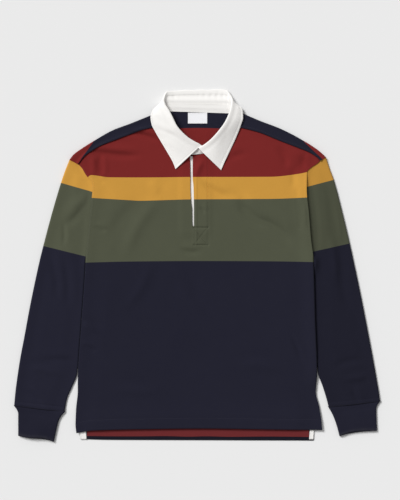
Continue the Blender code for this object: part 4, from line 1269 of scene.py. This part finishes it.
# %% Side edges of a cuff
def cuff_lines(side):
    """Both side edges of a cuff, from its tuck inside the sleeve on to its end."""
    rows = CUFFS[side]
    numbers = np.arange(len(rows["outer_x"]), dtype=float)
    at = spaced(0, numbers[-1], CUFF_STEP)
    line = {name: fair(numbers, values, at) for name, values in rows.items()}
    tucked = {name: values[0] - CUFF_TUCK * (values[1] - values[0]) for name, values in line.items()}
    line = {name: np.concatenate([[tucked[name]], values]) for name, values in line.items()}
    at = np.concatenate([[-0.3], at])
    return at, line


print("rings of a cuff", len(cuff_lines("left")[0]))

# %% Build the cuffs
def build_cuff(side):
    """A ribbed ring, pressed flat, with the middle of its mouth standing up."""
    at, line = cuff_lines(side)
    shares = np.linspace(0, 1, 4 * RIBS + 1)
    points = []
    for row, t in enumerate(at):
        out = np.array((line["outer_x"][row], line["outer_y"][row]))
        inn = np.array((line["inner_x"][row], line["inner_y"][row]))
        width = np.linalg.norm(inn - out)
        for along, layer in ((shares[::-1], 0), (shares[2:-2:2], 1)):
            distance = along * width
            place = out + (inn - out) * along[:, None]
            end_bow = np.sin(math.pi * along ** 1.35) * ramp(t, 3.0, 4.0)
            place[:, 1] += CUFF_END_BOW[side] * end_bow + (CUFF_OPENING * end_bow if layer == 0 else 0)
            place[:, 1] += CUFF_END_SWAY[side] * np.sin(2 * math.pi * along) * ramp(t, 3.0, 4.0)
            place[:, 1] += CUFF_SEAM_BOW * np.sin(math.pi * along) * (1 - ramp(t, 0.0, 1.5))
            inside = width - distance
            opened = (RIB * 1.5 + 0.8 + CUFF_LIFT * fading(distance, CUFF_SPREAD)
                      + CUFF_LIFT * fading(inside, CUFF_SPREAD) - 0.3 * (1 - ramp(t, -0.1, 0.35))
                      + MOUTH_LIFT[side] * ramp(t, 1.0, 4.0) * np.sin(math.pi * along))
            middle = (opened + RIB / 2) / 2
            open_share = rounded(distance) * rounded(inside)
            height = middle + ((opened, RIB / 2)[layer] - middle) * open_share
            ribs = RIB_RELIEF * np.cos(2 * math.pi * RIBS * along) * open_share
            height = height + (ribs * ramp(t, 0.3, 0.7) if layer == 0 else 0)
            points.append(np.column_stack([place, height]))
    ring = len(shares) + len(shares[2:-2:2])
    faces = [(r * ring + c, r * ring + (c + 1) % ring, (r + 1) * ring + (c + 1) % ring,
              (r + 1) * ring + c) for r in range(len(at) - 1) for c in range(ring)]
    if side == "right":
        faces = [face[::-1] for face in faces]
    points = np.concatenate(points)
    end = np.repeat(ramp(at, at[-1] - 0.4, at[-1]), ring)
    piece = make_piece("cuff_rib_" + side, points, faces, RIB, RIB_KNIT, rim=end, even=False)
    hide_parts("cuff_" + side)
    report(piece, points, faces)


for side in OUTWARD:
    build_cuff(side)

# %% [markdown]
# ## Collar
# The collar is cut in two: a stand that rises from the neckline and a fall that turns over it and
# lies on the shirt as two leaves. At the back it was laid down flat, so the fold is its topmost
# line and the puckered seam between stand and fall shows inside the neck. Each row of the table
# is a section from the neckline, over the fold, to the leaf's edge.

# %% Collar tables
COLLAR_CLOTH = 1.6
COLLAR = table(
    "neck_x neck_y neck_z fold_x fold_y fold_z edge_x edge_y edge_z seam back",
    (-10.6, 273.6, 4.0, 11.5, 289.4, 13.5, -52.3, 231.1, 5.4, 7.0, 0.0),
    (-17.0, 268.6, 3.8, 0.2, 293.5, 15.5, -58.4, 247.0, 5.4, 7.0, 0.0),
    (-34.6, 274.8, 3.6, -20.2, 305.0, 19.0, -73.4, 273.8, 5.4, 7.0, 0.0),
    (-52.6, 288.0, 3.6, -35.8, 318.5, 22.0, -89.0, 300.2, 5.4, 7.0, 0.0),
    (-68.6, 306.4, 3.6, -48.5, 333.6, 23.5, -101.0, 320.9, 5.8, 7.0, 0.0),
    (-79.0, 325.2, 3.8, -58.6, 354.0, 23.0, -109.4, 338.2, 7.6, 7.0, 0.0),
    (-82.8, 344.4, 4.4, -67.4, 371.3, 21.0, -111.8, 354.0, 9.0, 8.0, 0.0),
    (-83.2, 358.8, 5.4, -76.0, 385.2, 18.0, -107.5, 369.4, 8.5, 8.5, 0.1),
    (-82.0, 369.6, 5.4, -79.4, 397.2, 14.0, -98.6, 379.4, 4.5, 9.0, 0.35),
    (-78.4, 375.8, 3.6, -78.0, 409.4, 9.0, -86.4, 382.6, 1.6, 9.5, 0.65),
    (-68.6, 376.9, 1.8, -71.5, 418.2, 4.6, -70.9, 382.4, 0.8, 10.0, 0.9),
    (-46.6, 376.6, 1.1, -49.0, 419.8, 2.1, -46.6, 382.4, 0.8, 10.0, 1.0),
    (1.4, 375.8, 1.1, 1.4, 421.2, 2.1, 1.4, 382.0, 0.8, 10.0, 1.0),
    (44.6, 375.5, 1.1, 44.6, 422.2, 2.1, 44.6, 382.0, 0.8, 10.0, 1.0),
    (68.6, 375.2, 1.8, 69.8, 420.2, 4.6, 71.0, 382.2, 0.8, 10.0, 0.9),
    (78.4, 375.6, 3.6, 77.3, 410.2, 9.0, 86.6, 383.0, 1.6, 9.5, 0.65),
    (82.0, 369.6, 5.4, 81.4, 397.2, 14.0, 99.8, 381.6, 4.5, 9.0, 0.35),
    (83.4, 358.8, 5.4, 80.2, 382.8, 18.0, 107.4, 372.0, 8.5, 8.5, 0.1),
    (82.6, 343.2, 4.4, 74.5, 362.2, 21.0, 108.8, 354.0, 9.4, 8.0, 0.0),
    (76.6, 322.8, 3.8, 64.4, 340.8, 23.0, 102.8, 333.6, 7.8, 7.0, 0.0),
    (64.4, 301.2, 3.6, 47.4, 318.0, 23.5, 91.4, 304.8, 5.8, 7.0, 0.0),
    (45.4, 282.0, 3.6, 30.4, 300.2, 20.5, 74.6, 268.8, 5.4, 7.0, 0.0),
    (24.2, 271.4, 3.8, 16.8, 289.8, 17.0, 64.0, 246.0, 5.4, 7.0, 0.0),
    (9.8, 268.0, 4.2, 2.2, 281.4, 15.5, 56.6, 228.7, 5.4, 7.0, 0.0))
print("sections in the collar's table", len(COLLAR["seam"]))

# %% Tab, turn and creases of the collar
STAND_TAB = table(
    "neck_x neck_y neck_z top_x top_y top_z",
    (0.0, 266.8, 7.6, -1.0, 284.0, 8.2), (-6.0, 266.0, 7.6, -6.2, 283.0, 8.0),
    (-13.5, 265.0, 7.2, -12.8, 279.4, 7.6))
STAND_START = 1.3
STAND_KNEE = 3.0
FALL_TURN = 5.0
LEAF_TURN = 2.1
LEAF_TURN_DROP = 1.1
BACK_TURN = 1.25
STAND_OVER_FALL = FLOOR + 2 * BACK_TURN
TURN_ANGLES = np.radians(np.linspace(0, 180, 9))
LEG_SHARES = np.concatenate([np.linspace(0, 0.86, 17)[1:], (0.9, 0.93, 0.955, 0.975, 0.99, 1.0)])
COLLAR_STEP = 0.1
COLLAR_CREASES = table(
    "x0 y0 x1 y1 bow width height",
    (-92.2, 326.0, -16.0, 284.0, 4.0, 5.0, -1.3),
    (-80.0, 300.0, -36.0, 268.0, 4.0, 8.0, 0.9),
    (72.0, 330.0, 44.0, 276.0, 4.0, 10.0, -0.5),
    (100.0, 352.0, 80.0, 322.0, 3.0, 9.0, 0.4),
    (-104.0, 356.0, -82.0, 336.0, 3.0, 6.0, -0.7))
LEFT_END_SHIFT = np.array((2.0, -3.6, -1.0))
LEAF_EDGE_LIFT = 2.6
LEAF_BELLY = 1.6
PUCKER_LENGTH = 13.0
PUCKER = 0.55
LEAF_CREASE = 0.35
FOLD_WAVER = 0.7
print("radius of the turn in front", LEAF_TURN, "mm, at the back", BACK_TURN, "mm")

# %% [markdown]
# ## Sections of the collar
# Where the collar turns over, its section is half a circle between two straight legs: the stand
# inside and the leaf outside. A curve with a bevel would give every section one shape, but this
# turn stands up in front and lies on its side at the back, so each section finds its own.

# %% Lines of the collar
def collar_sections(at):
    """Neck, fold and edge points of the collar and its two shares at places along the table."""
    places = np.arange(len(COLLAR["seam"]), dtype=float)
    column = {name: fair(places, values, at) for name, values in COLLAR.items()}
    neck, fold, outer = (np.column_stack([column[end + axis] for axis in ("_x", "_y", "_z")])
                         for end in ("neck", "fold", "edge"))
    outward = (outer - fold)[:, :2]
    outward /= np.linalg.norm(outward, axis=1)[:, None]
    fold[:, :2] += outward * COLLAR_CLOTH / 2
    return neck, fold, outer, column["seam"][:, None], column["back"][:, None]


def step_towards(start, target, length):
    """A point some way from the start towards the target, measured level."""
    way = target - start
    return start + way * length / np.linalg.norm(way[:, :2], axis=1)[:, None]


def level_way(start, target):
    """Unit vectors from the start to the target, measured level."""
    way = (target - start)[:, :2]
    return way / np.linalg.norm(way, axis=1)[:, None]


print("first section starts at", collar_sections(np.zeros(1))[0].round(1).tolist()[0])

# %% Turn of the collar
def turn_points(neck, fold, outer, back):
    """Points where the turn ends on the stand's side and on the fall's."""
    inward = level_way(fold, neck) + level_way(fold, outer)
    inward /= np.linalg.norm(inward, axis=1)[:, None]
    aside = np.column_stack([inward[:, 1], -inward[:, 0]])
    aside *= (np.sign(fold[:, 0]) * np.sign(aside[:, 0]))[:, None]
    over = np.hstack([aside * np.sin(np.pi * back), np.cos(np.pi * back)])
    radius = LEAF_TURN + (BACK_TURN - LEAF_TURN) * back
    middle = fold + np.hstack([inward * FALL_TURN, -LEAF_TURN_DROP * (1 - back)])
    return middle - over * radius, middle + over * radius


def round_turn(inner_side, fold, outer_side):
    """Half a circle between the two legs of the turn, with its outermost point on the fold."""
    apart = outer_side - inner_side
    radius = np.linalg.norm(apart, axis=1)[:, None] / 2
    over = apart / (2 * radius)
    back_in = (inner_side + outer_side) / 2 - fold
    back_in -= over * np.sum(back_in * over, axis=1)[:, None]
    back_in /= np.linalg.norm(back_in, axis=1)[:, None]
    return [fold + radius * (back_in * (1 - np.sin(angle)) - over * np.cos(angle))
            for angle in TURN_ANGLES]


def stand_top(neck, fold, outer, seam, back, turn):
    """The line where the stand ends and the fall starts."""
    inner_side, outer_side = turn
    length, fall_length = (np.linalg.norm((end - fold)[:, :2], axis=1)[:, None] - FALL_TURN
                           for end in (neck, outer))
    top = inner_side + (neck - inner_side) * (seam - FALL_TURN) / length
    fall_z = outer_side[:, 2:] + (outer - outer_side)[:, 2:] * (seam - FALL_TURN) / fall_length
    top[:, 2:] += (fall_z + 2 * BACK_TURN - top[:, 2:]) * back
    return top


print("points round the turn", len(TURN_ANGLES))

# %% Puckers, swell and what the leaves rest on
def pucker(along, distance):
    """Small waves that a row of stitches draws into cloth beside a seam."""
    wave = np.sin(2 * math.pi * along / PUCKER_LENGTH + 1.7 * np.sin(along / 17))
    return PUCKER * wave * (0.65 + 0.35 * np.sin(along / 31)) * fading(distance, 4.5)


def back_swell(y):
    """The stand's swell where it lies back, between its dip at the tape and the one at its seam."""
    return (1.1 * fading(y - 396.0, 5.0) - 0.5 * fading(y - 387.0, 3.5)
            - 0.9 * fading(y - 406.5, 4.5))


def resting_height(x, y):
    """Top of the body's upper layer, or far below where the neck is open."""
    upper, _ = body_heights(x, y)
    top = upper + front_relief(x, y) + JERSEY / 2
    open_neck = (np.abs(x) < FRONT_NECK["x"][-1]) & (y > front_top(x))
    return np.where(open_neck | (y > back_top(x)), -10.0, top)


def seam_swell(row, seam_line, run, back):
    """Height that the puckered seam adds to a row of points where the stand lies back."""
    distance = np.linalg.norm(row - seam_line, axis=1)
    return (pucker(run, distance) + back_swell(row[:, 1])) * back[:, 0]


print("a leaf rests at", round(float(resting_height(80.0, 280.0)), 1), "mm beside the neck")

# %% The leaves
RIM_RISE = 0.45
RIM_GROOVE = 0.4


def leaf_rows(at, outer, outer_side, back):
    """Rows of points from the turn out to the leaf's edge, resting on the shirt."""
    rows = []
    last = len(COLLAR["seam"]) - 1
    leg_length = np.linalg.norm(outer - outer_side, axis=1)
    front_end = np.minimum(at, last - at) * 17
    lying = 1 - back[:, 0]
    for share in LEG_SHARES:
        row = outer_side + (outer - outer_side) * share
        from_edge = np.minimum((1 - share) * leg_length, front_end)
        rim = RIM_RISE * fading(from_edge - 1.2, 1.8) - RIM_GROOVE * fading(from_edge - 5.5, 1.4)
        belly = LEAF_BELLY * math.sin(math.pi * share) ** 1.5 * (1 - 0.7 * ramp(row[:, 0], 40, 70))
        flat = ramp(leg_length * share, 4, 16) * lying
        row[:, 2] += flat * (rim + belly + LEAF_EDGE_LIFT * share
                             + LEAF_CREASE * crease_heights(*row.T[:2], COLLAR_CREASES))
        floor = resting_height(row[:, 0], row[:, 1]) + COLLAR_CLOTH / 2 + 0.1
        row[:, 2] += lying * (np.maximum(row[:, 2], floor) - row[:, 2])
        rows.append(row)
    return rows


print("rows from the turn to a leaf's edge", len(LEG_SHARES))

# %% Build the fall
LEAF_STITCH_ROW = 5


def collar_lines():
    """The collar's lines at close steps: neck, seam, fold, edge, and its two sides of the turn."""
    last = len(COLLAR["seam"]) - 1
    at = np.linspace(0, last, round(last / COLLAR_STEP) + 1)
    neck, fold, outer, seam, back = collar_sections(at)
    turn = turn_points(neck, fold, outer, back)
    fold += (1 - ramp(at, 0, 1))[:, None] * LEFT_END_SHIFT
    fold[:, 1] += back[:, 0] * FOLD_WAVER * np.sin(fold[:, 0] / 8 + 1.6 * np.sin(fold[:, 0] / 21))
    top = stand_top(neck, fold, outer, seam, back, turn)
    run = np.concatenate([[0], np.cumsum(np.linalg.norm(np.diff(top, axis=0), axis=1))])
    return at, neck, top, fold, outer, back, turn, run


def build_fall(at, top, fold, outer, back, turn, run):
    """The fall: from its seam with the stand over the turn and out to the leaves' edges."""
    inner_side, outer_side = turn
    around = [top, top + (inner_side - top) * 0.3, top + (inner_side - top) * 0.65,
              *round_turn(inner_side, fold, outer_side)]
    for row in around[:3]:
        row[:, 2] += seam_swell(row, top, run, back)
    around += leaf_rows(at, outer, outer_side, back)
    points = np.stack(around, axis=1).reshape(-1, 3)
    faces = grid(len(at), len(around))
    fall = make_piece("collar_leaves", points, faces, COLLAR_CLOTH, COLLAR_WEAVE,
                      even=False, crisp=True)
    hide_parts("collar_fall")
    report(fall, points, faces)
    return fall, around[-LEAF_STITCH_ROW][:, :2]


at, neck, top, fold, outer, back, turn, run = collar_lines()
fall_piece, leaf_row = build_fall(at, top, fold, outer, back, turn, run)

# %% [markdown]
# The stand is a lower band that ends where the fall begins. Its rows run from the neckline to
# that seam, and past its right end it goes on as the short tab that shows between the leaves.
# Stand and fall could be one mesh, but they are cut and sewn as two pieces, so they stay two.

# %% Build the stand
TAB_RUN = 6.0


def build_stand(at, neck, top, back, run):
    """The stand: from the neckline up to its seam with the fall, with the tab at its end."""
    keep = at >= STAND_START
    neck, top, back, run = neck[keep], top[keep], back[keep], run[keep]
    tab_neck, tab_top = (np.column_stack([STAND_TAB[end + axis] for axis in ("_x", "_y", "_z")])
                         for end in ("neck", "top"))
    neck, top = np.concatenate([neck, tab_neck]), np.concatenate([top, tab_top])
    back = np.concatenate([back, np.zeros((len(tab_neck), 1))])
    run = np.concatenate([run, run[-1] + TAB_RUN * np.arange(1, len(tab_neck) + 1)])
    knee = step_towards(neck, top, STAND_KNEE)
    knee[:, 2:] += (STAND_OVER_FALL - knee[:, 2:]) * back
    around = [neck, (neck + knee) / 2, knee]
    for share in np.linspace(0, 1, 15)[1:]:
        row = knee + (top - knee) * share
        row[:, 2] += seam_swell(row, top, run, back)
        around.append(row)
    points = np.stack(around, axis=1).reshape(-1, 3)
    faces = grid(len(neck), len(around))
    stand = make_piece("collar_band", points, faces, COLLAR_CLOTH, COLLAR_WEAVE,
                       even=False, crisp=True)
    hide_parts("collar_stand")
    report(stand, points, faces)
    return stand


stand_piece = build_stand(at, neck, top, back, run)

# %% [markdown]
# ## Tapes, label and under-placket
# A twill tape hides the seam across the back of the neck, and a plain woven label is sewn below
# it. White tape binds each vent and a dark red one lies along the back hem. The white
# under-placket shows as a thin wedge between the lips of the slit. All are flat strips, so one
# helper lays them; planes placed by hand would need the same numbers again for each.

# %% Flat pieces
TAPE = 1.0
ON_BACK = 2.4
SMALL_STEP = 1.6


def tape_relief(x, y, low, high):
    """Bound edges a little thicker than the middle, and slow waves along the tape."""
    from_edge = np.minimum(y - low, high - y)
    return 0.25 * fading(from_edge, 1.6) + 0.15 * np.sin(x / 13) * np.sin(y / 9)


def build_flat_piece(name, node, xs, ys, heights, wall, material, slant=0.0,
                     waver=0.0):
    """A piece of tape on a grid of x and y, with a height for each y."""
    x, y = np.meshgrid(xs, ys)
    z = np.broadcast_to(np.asarray(heights, float).reshape(-1, 1), x.shape)
    z = z + tape_relief(x, y, ys[0], ys[-1])
    y = y + slant * x + waver * np.sin(x / 24 + 1.5 * np.sin(x / 61))
    points = np.column_stack([x.ravel(), y.ravel(), z.ravel()])
    faces = grid(len(ys), len(xs))
    piece = make_piece(name, points, faces, wall, material, crisp=True)
    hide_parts(node)
    report(piece, points, faces)
    return piece


print("a bound edge stands", float(tape_relief(0.0, 0.0, 0.0, 20.0)), "mm proud")

# %% Neck tape and label
NECK_TAPE_X = (-78.0, 79.0)
NECK_TAPE = table("y z", (367.5, 2.3), (373.4, 3.3), (379.0, 4.3), (388.0, 4.2))
NECK_TAPE_WALL = 0.5
NECK_TAPE_SLANT = -0.0345
LABEL_X = (-22.6, 23.4)
LABEL_Y = (340.6, 366.6)
tape_y = spaced(*NECK_TAPE["y"][[0, -1]], SMALL_STEP)
neck_tape_piece = build_flat_piece(
    "neck_seam_tape", "neck_tape", spaced(*NECK_TAPE_X, 3), tape_y,
    fair(NECK_TAPE["y"], NECK_TAPE["z"], tape_y), NECK_TAPE_WALL, WHITE_TWILL,
    NECK_TAPE_SLANT)
label_piece = build_flat_piece(
    "blank_neck_label", "neck_label", spaced(*LABEL_X, SMALL_STEP), spaced(*LABEL_Y, SMALL_STEP),
    [ON_BACK], TAPE, LABEL_WEAVE)

# %% Hem tape and under-placket
HEM_TAPE_X = (-264.8, 267.4)
HEM_TAPE_Y = (-410.0, -384.0)
HEM_TAPE_SLANT = -0.0042
HEM_TAPE_WAVER = 0.5
UNDER_PLACKET_X = (-24.0, 8.0)
UNDER_PLACKET_Y = (88.0, 262.0)
UNDER_PLACKET = table("y z", (88.0, 5.2), (190.0, 5.0), (240.0, 3.6), (262.0, 3.4))
hem_tape_piece = build_flat_piece(
    "back_hem_tape", "hem_tape", spaced(*HEM_TAPE_X, 6), spaced(*HEM_TAPE_Y, 2),
    [ON_BACK], TAPE, RED_TWILL, HEM_TAPE_SLANT, HEM_TAPE_WAVER)
placket_y = spaced(*UNDER_PLACKET_Y, 4)
build_flat_piece(
    "white_under_placket", "placket_under", spaced(*UNDER_PLACKET_X, 2), placket_y,
    np.interp(placket_y, UNDER_PLACKET["y"], UNDER_PLACKET["z"]), TAPE, COLLAR_WEAVE)

# %% Build the vent bindings
SEAM = 0.4
VENT_TAPE_WIDTH = {"left": 14.6, "right": 10.2}
VENT_TAPE_Y = (-417.0, -316.0)


def build_vent_tape(side):
    """A strip that binds the back's edge in one vent, a little thicker at its own edges."""
    way = -OUTWARD[side]
    ys = spaced(*VENT_TAPE_Y, 3)
    edges = edge(side, ys, "back") + way * SEAM
    shares = np.linspace(0, 1, 8)
    points = [(x_edge + way * VENT_TAPE_WIDTH[side] * (share if way > 0 else 1 - share), y,
               ON_BACK + 0.2 * abs(2 * share - 1) ** 4)
              for x_edge, y in zip(edges, ys) for share in shares]
    faces = grid(len(ys), len(shares))
    piece = make_piece("vent_binding_" + side, points, faces, TAPE, WHITE_TWILL)
    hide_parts("vent_tape_" + side)
    report(piece, points, faces)
    return piece


vent_pieces = {side: build_vent_tape(side) for side in OUTWARD}

# %% [markdown]
# ## Stitches
# Each stitch is a short spindle of thread sunk into the cloth. A row is drawn as a line seen from
# above; every stitch is dropped on the finished cloth, so it follows folds and grooves. A dashed
# line in the material would do from far away, but real thread catches the light one stitch at a
# time.

# %% Places of the stitches
STITCH = 2.7
STITCH_PITCH = 3.5
THREAD = 0.42
SIDES = 6
RAY_FROM = 0.08
DOWN = Vector((0, 0, -1))
SUNK = 0.12
STEEPEST = 1.5


def on_cloth(surface, line):
    """Places every stitch pitch along a line, with height and direction on the cloth."""
    line = np.asarray(line, float)
    run = np.concatenate([[0], np.cumsum(np.linalg.norm(np.diff(line, axis=0), axis=1))])
    middles = np.arange(STITCH_PITCH / 2, run[-1], STITCH_PITCH)
    ends = []
    for place in middles:
        pair = []
        for t in (place - STITCH / 2, place + STITCH / 2):
            x, y = np.interp(t, run, line[:, 0]), np.interp(t, run, line[:, 1])
            hit = surface.ray_cast(Vector((x * MM, y * MM, RAY_FROM)), DOWN)[0]
            if hit:
                pair.append((x, y, hit.z / MM + SUNK))
        if len(pair) == 2 and abs(pair[0][2] - pair[1][2]) < STEEPEST:
            ends.append(pair)
    return ends


def line_on(xs, ys):
    """Points of a line; a single number stands for the same x or y all along it."""
    return np.column_stack([np.asarray(xs, float) + 0 * np.asarray(ys, float),
                            np.asarray(ys, float) + 0 * np.asarray(xs, float)])


print("stitches in 10 cm of seam", round(100 / STITCH_PITCH))

# %% Rows of stitches
def thread_material(name, colour, painted_light=1.0):
    """Sewing thread: a fine twist, a little smoother than cloth."""
    return cloth_material(name, colour, WEAVE, 0.5, 0.2, 0.08, 0.0, 0.7, 0.1, painted_light)


def build_stitches(name, cloth_piece, lines, material, band_of=None):
    """All the stitch rows of one piece of cloth, as one mesh of spindles."""
    surface = BVHTree.FromObject(cloth_piece, bpy.context.evaluated_depsgraph_get())
    ends = np.array([pair for line in lines for pair in on_cloth(surface, line)])
    start, finish = ends[:, 0], ends[:, 1]
    way = finish - start
    aside = np.cross(way, (0, 0, 1.0))
    aside /= np.linalg.norm(aside, axis=1)[:, None]
    rise = np.cross(aside, way)
    rise /= np.linalg.norm(rise, axis=1)[:, None]
    points, faces = [], []
    turn = np.arange(SIDES) * 2 * math.pi / SIDES
    for number in range(len(ends)):
        rings = [start[number] + way[number] * share + THREAD * (
            np.cos(turn)[:, None] * aside[number] + np.sin(turn)[:, None] * rise[number])
                 for share in (0.22, 0.78)]
        first = len(points)
        points += [start[number], *rings[0], *rings[1], finish[number]]
        for side in range(SIDES):
            one, other = 1 + side, 1 + (side + 1) % SIDES
            faces += [(first, first + other, first + one),
                      (first + one, first + other, first + other + SIDES, first + one + SIDES),
                      (first + one + SIDES, first + other + SIDES, first + 2 * SIDES + 1)]
    points = np.array(points)
    band = band_of(points[:, 0], points[:, 1]) if band_of else 0.0
    make_piece(name, points, faces, 0, material, band=band)
    print(name, "stitches", len(ends))


# The 1.5 paints the banded thread paler than the cloth: a painted highlight.
BANDED_THREAD_PAINTED_HIGHLIGHT = thread_material("banded_thread_painted_highlight", None, 1.5)
WHITE_THREAD = thread_material("white_thread", WHITE)
print("threads:", BANDED_THREAD_PAINTED_HIGHLIGHT.name, "and", WHITE_THREAD.name)

# %% [markdown]
# ## Seams of the shirt
# The jersey is sewn with thread of its own colours, painted a little paler than the cloth: a painted
# highlight for thread that lies on top and catches the light. Collar, label and white tapes have white
# thread, the red tape red.
# Geometry nodes could scatter the stitches along curves too; a plain mesh for each cloth is
# easier to hand on.

# %% Stitch the body
ARMHOLE_STITCH = 4.0
SHOULDER_STITCH = 3.2
SHOULDER_BAND = 4.5
hem_xs = np.linspace(-284, 290, 120)
hem_line = line_on(hem_xs, front_hem(hem_xs) + HEM_STITCH)
fly_y = np.linspace(BOX[0], 268, 40)
box_x, box_y = np.linspace(*BOX_X, 10), np.linspace(*BOX, 10)
fly_lines = [line_on(FLY_STITCH_X, fly_y), line_on(SLIT_X + 1.2, np.linspace(49, 88, 12)),
             line_on(box_x, BOX[0]), line_on(box_x, BOX[1]), line_on(box_x, box_y),
             line_on(box_x, box_y[::-1])]
arm_y = np.linspace(16, 236, 60)
armhole_lines = [line_on(edge(side, arm_y) - way * ARMHOLE_STITCH, arm_y)
                 for side, way in OUTWARD.items()]
build_stitches("front_stitch_rows", front_piece, [hem_line, *fly_lines, *armhole_lines],
               BANDED_THREAD_PAINTED_HIGHLIGHT, body_band)
shoulder_lines = [line_on(xs, front_top(xs) + SHOULDER_STITCH)
                  for xs in (np.linspace(-280, -118, 50), np.linspace(118, 288, 50))]
build_stitches("shoulder_stitch_rows", back_piece, shoulder_lines, BANDED_THREAD_PAINTED_HIGHLIGHT,
               lambda x, y: SHOULDER_BAND + 0 * x)

# %% Stitch the label, tapes and collar
LABEL_STITCH = (1.5, 1.8)
NECK_TAPE_STITCHES = (369.0, 386.0)
VENT_STITCH = 1.6
HEM_TAPE_STITCH = 1.8
LEAF_STITCHED = (4, 95)
label_x = np.linspace(LABEL_X[0] + LABEL_STITCH[0], LABEL_X[1] - LABEL_STITCH[0], 8)
label_rows = [line_on(label_x, LABEL_Y[0] + LABEL_STITCH[1]),
              line_on(label_x, LABEL_Y[1] - LABEL_STITCH[1])]
build_stitches("label_stitch_rows", label_piece, label_rows, WHITE_THREAD)
tape_x = np.linspace(NECK_TAPE_X[0] + 1, NECK_TAPE_X[1] - 1, 20)
build_stitches("neck_tape_stitch_rows", neck_tape_piece,
               [line_on(tape_x, y) for y in NECK_TAPE_STITCHES], WHITE_THREAD)
first, last = LEAF_STITCHED
build_stitches("collar_stitch_rows", fall_piece, [leaf_row[first:last], leaf_row[-last:-first]],
               WHITE_THREAD)
for side, outward in OUTWARD.items():
    ys = np.linspace(VENT_TAPE_Y[0] + 2, -398, 8)
    rows = [line_on(edge(side, ys, "back") - outward * (SEAM + across_tape), ys)
            for across_tape in (VENT_STITCH, VENT_TAPE_WIDTH[side] - VENT_STITCH)]
    build_stitches("vent_stitch_rows_" + side, vent_pieces[side], rows, WHITE_THREAD)
red_xs = np.linspace(-262, 260, 100)
red_rows = [line_on(red_xs, HEM_TAPE_Y[0] + HEM_TAPE_STITCH + HEM_TAPE_SLANT * red_xs)]
RED_THREAD = thread_material("red_thread", TAPE_RED)
build_stitches("hem_tape_stitch_rows", hem_tape_piece, red_rows, RED_THREAD)

# %% [markdown]
# ## Floor
# The shirt lies on a pale sheet of paper. It is a plain square far larger than the view, so that
# its edge never shows, just below the cloth, so that the two never share one height.

# %% Floor
FLOOR_HALF = 4.0
FLOOR_GREY = 0.80
FLOOR_Z = -0.0003


def build_floor():
    """A matt square that only catches the shirt's shadow."""
    mesh = bpy.data.meshes.new("studio_floor")
    corners = [(x * FLOOR_HALF, y * FLOOR_HALF, FLOOR_Z)
               for x, y in ((-1, -1), (1, -1), (1, 1), (-1, 1))]
    mesh.from_pydata(corners, [], [(0, 1, 2, 3)])
    floor = bpy.data.objects.new("studio_floor", mesh)
    bpy.context.scene.collection.objects.link(floor)
    material = bpy.data.materials.new("pale_paper")
    material.use_nodes = True
    shader = material.node_tree.nodes["Principled BSDF"]
    shader.inputs["Base Color"].default_value = (FLOOR_GREY, FLOOR_GREY, FLOOR_GREY, 1)
    shader.inputs["Roughness"].default_value = 1.0
    shader.inputs["Specular IOR Level"].default_value = 0.0
    mesh.materials.append(material)


build_floor()
print("floor", 2 * FLOOR_HALF, "m wide")

# %% [markdown]
# ## Light
# One large soft light stands beyond the collar and a little to the left, so shadows fall softly
# below the cuffs and hem, and a bright room fills them. An area lamp near the shirt would do too,
# but its light would fall off across the cloth; a sun with a wide angle stays even.

# %% Light
ROOM_LIGHT = 0.38
DIRECT_LIGHT = 0.65
SOFTNESS = 22
LIGHT_FROM = (-0.75, 0.68, 1.0)


def build_light():
    """The room's even light and one soft sun."""
    world = bpy.data.worlds.new("soft_room")
    bpy.context.scene.world = world
    world.use_nodes = True
    world.node_tree.nodes["Background"].inputs["Color"].default_value = (1, 1, 1, 1)
    world.node_tree.nodes["Background"].inputs["Strength"].default_value = ROOM_LIGHT
    sun = bpy.data.lights.new("large_soft_light", "SUN")
    sun.angle = math.radians(SOFTNESS)
    toward = Vector(LIGHT_FROM).normalized()
    sun.energy = DIRECT_LIGHT * math.pi / toward.z
    lamp = bpy.data.objects.new("large_soft_light", sun)
    lamp.rotation_euler = toward.to_track_quat("Z", "Y").to_euler()
    bpy.context.scene.collection.objects.link(lamp)


build_light()
print("share of the room light", round(ROOM_LIGHT / (ROOM_LIGHT + DIRECT_LIGHT), 2))

# %% [markdown]
# ## Camera
# The camera looks straight down from over three metres with a long lens, so the flat shirt keeps
# its shape. Colours go to the picture as they are, as a tone curve would dull the white collar.

# %% Camera
LENS = 100
SENSOR = 36
CAMERA_PLACE = (0.00624, 0.0372, 3.3333)


def build_camera():
    """A long lens that looks straight down."""
    lens = bpy.data.cameras.new("photo_camera")
    lens.lens = LENS
    lens.sensor_width = SENSOR
    lens.clip_end = 50
    camera = bpy.data.objects.new("photo_camera", lens)
    camera.location = CAMERA_PLACE
    bpy.context.scene.collection.objects.link(camera)
    bpy.context.scene.camera = camera


build_camera()
bpy.context.scene.view_settings.view_transform = "Standard"
print("the camera sees", round(CAMERA_PLACE[2] * SENSOR / LENS, 2), "m from top to bottom")

# %% [markdown]
# ## Last update
# The view layer is updated once more after the last piece.

# %% Update
bpy.context.view_layer.update()
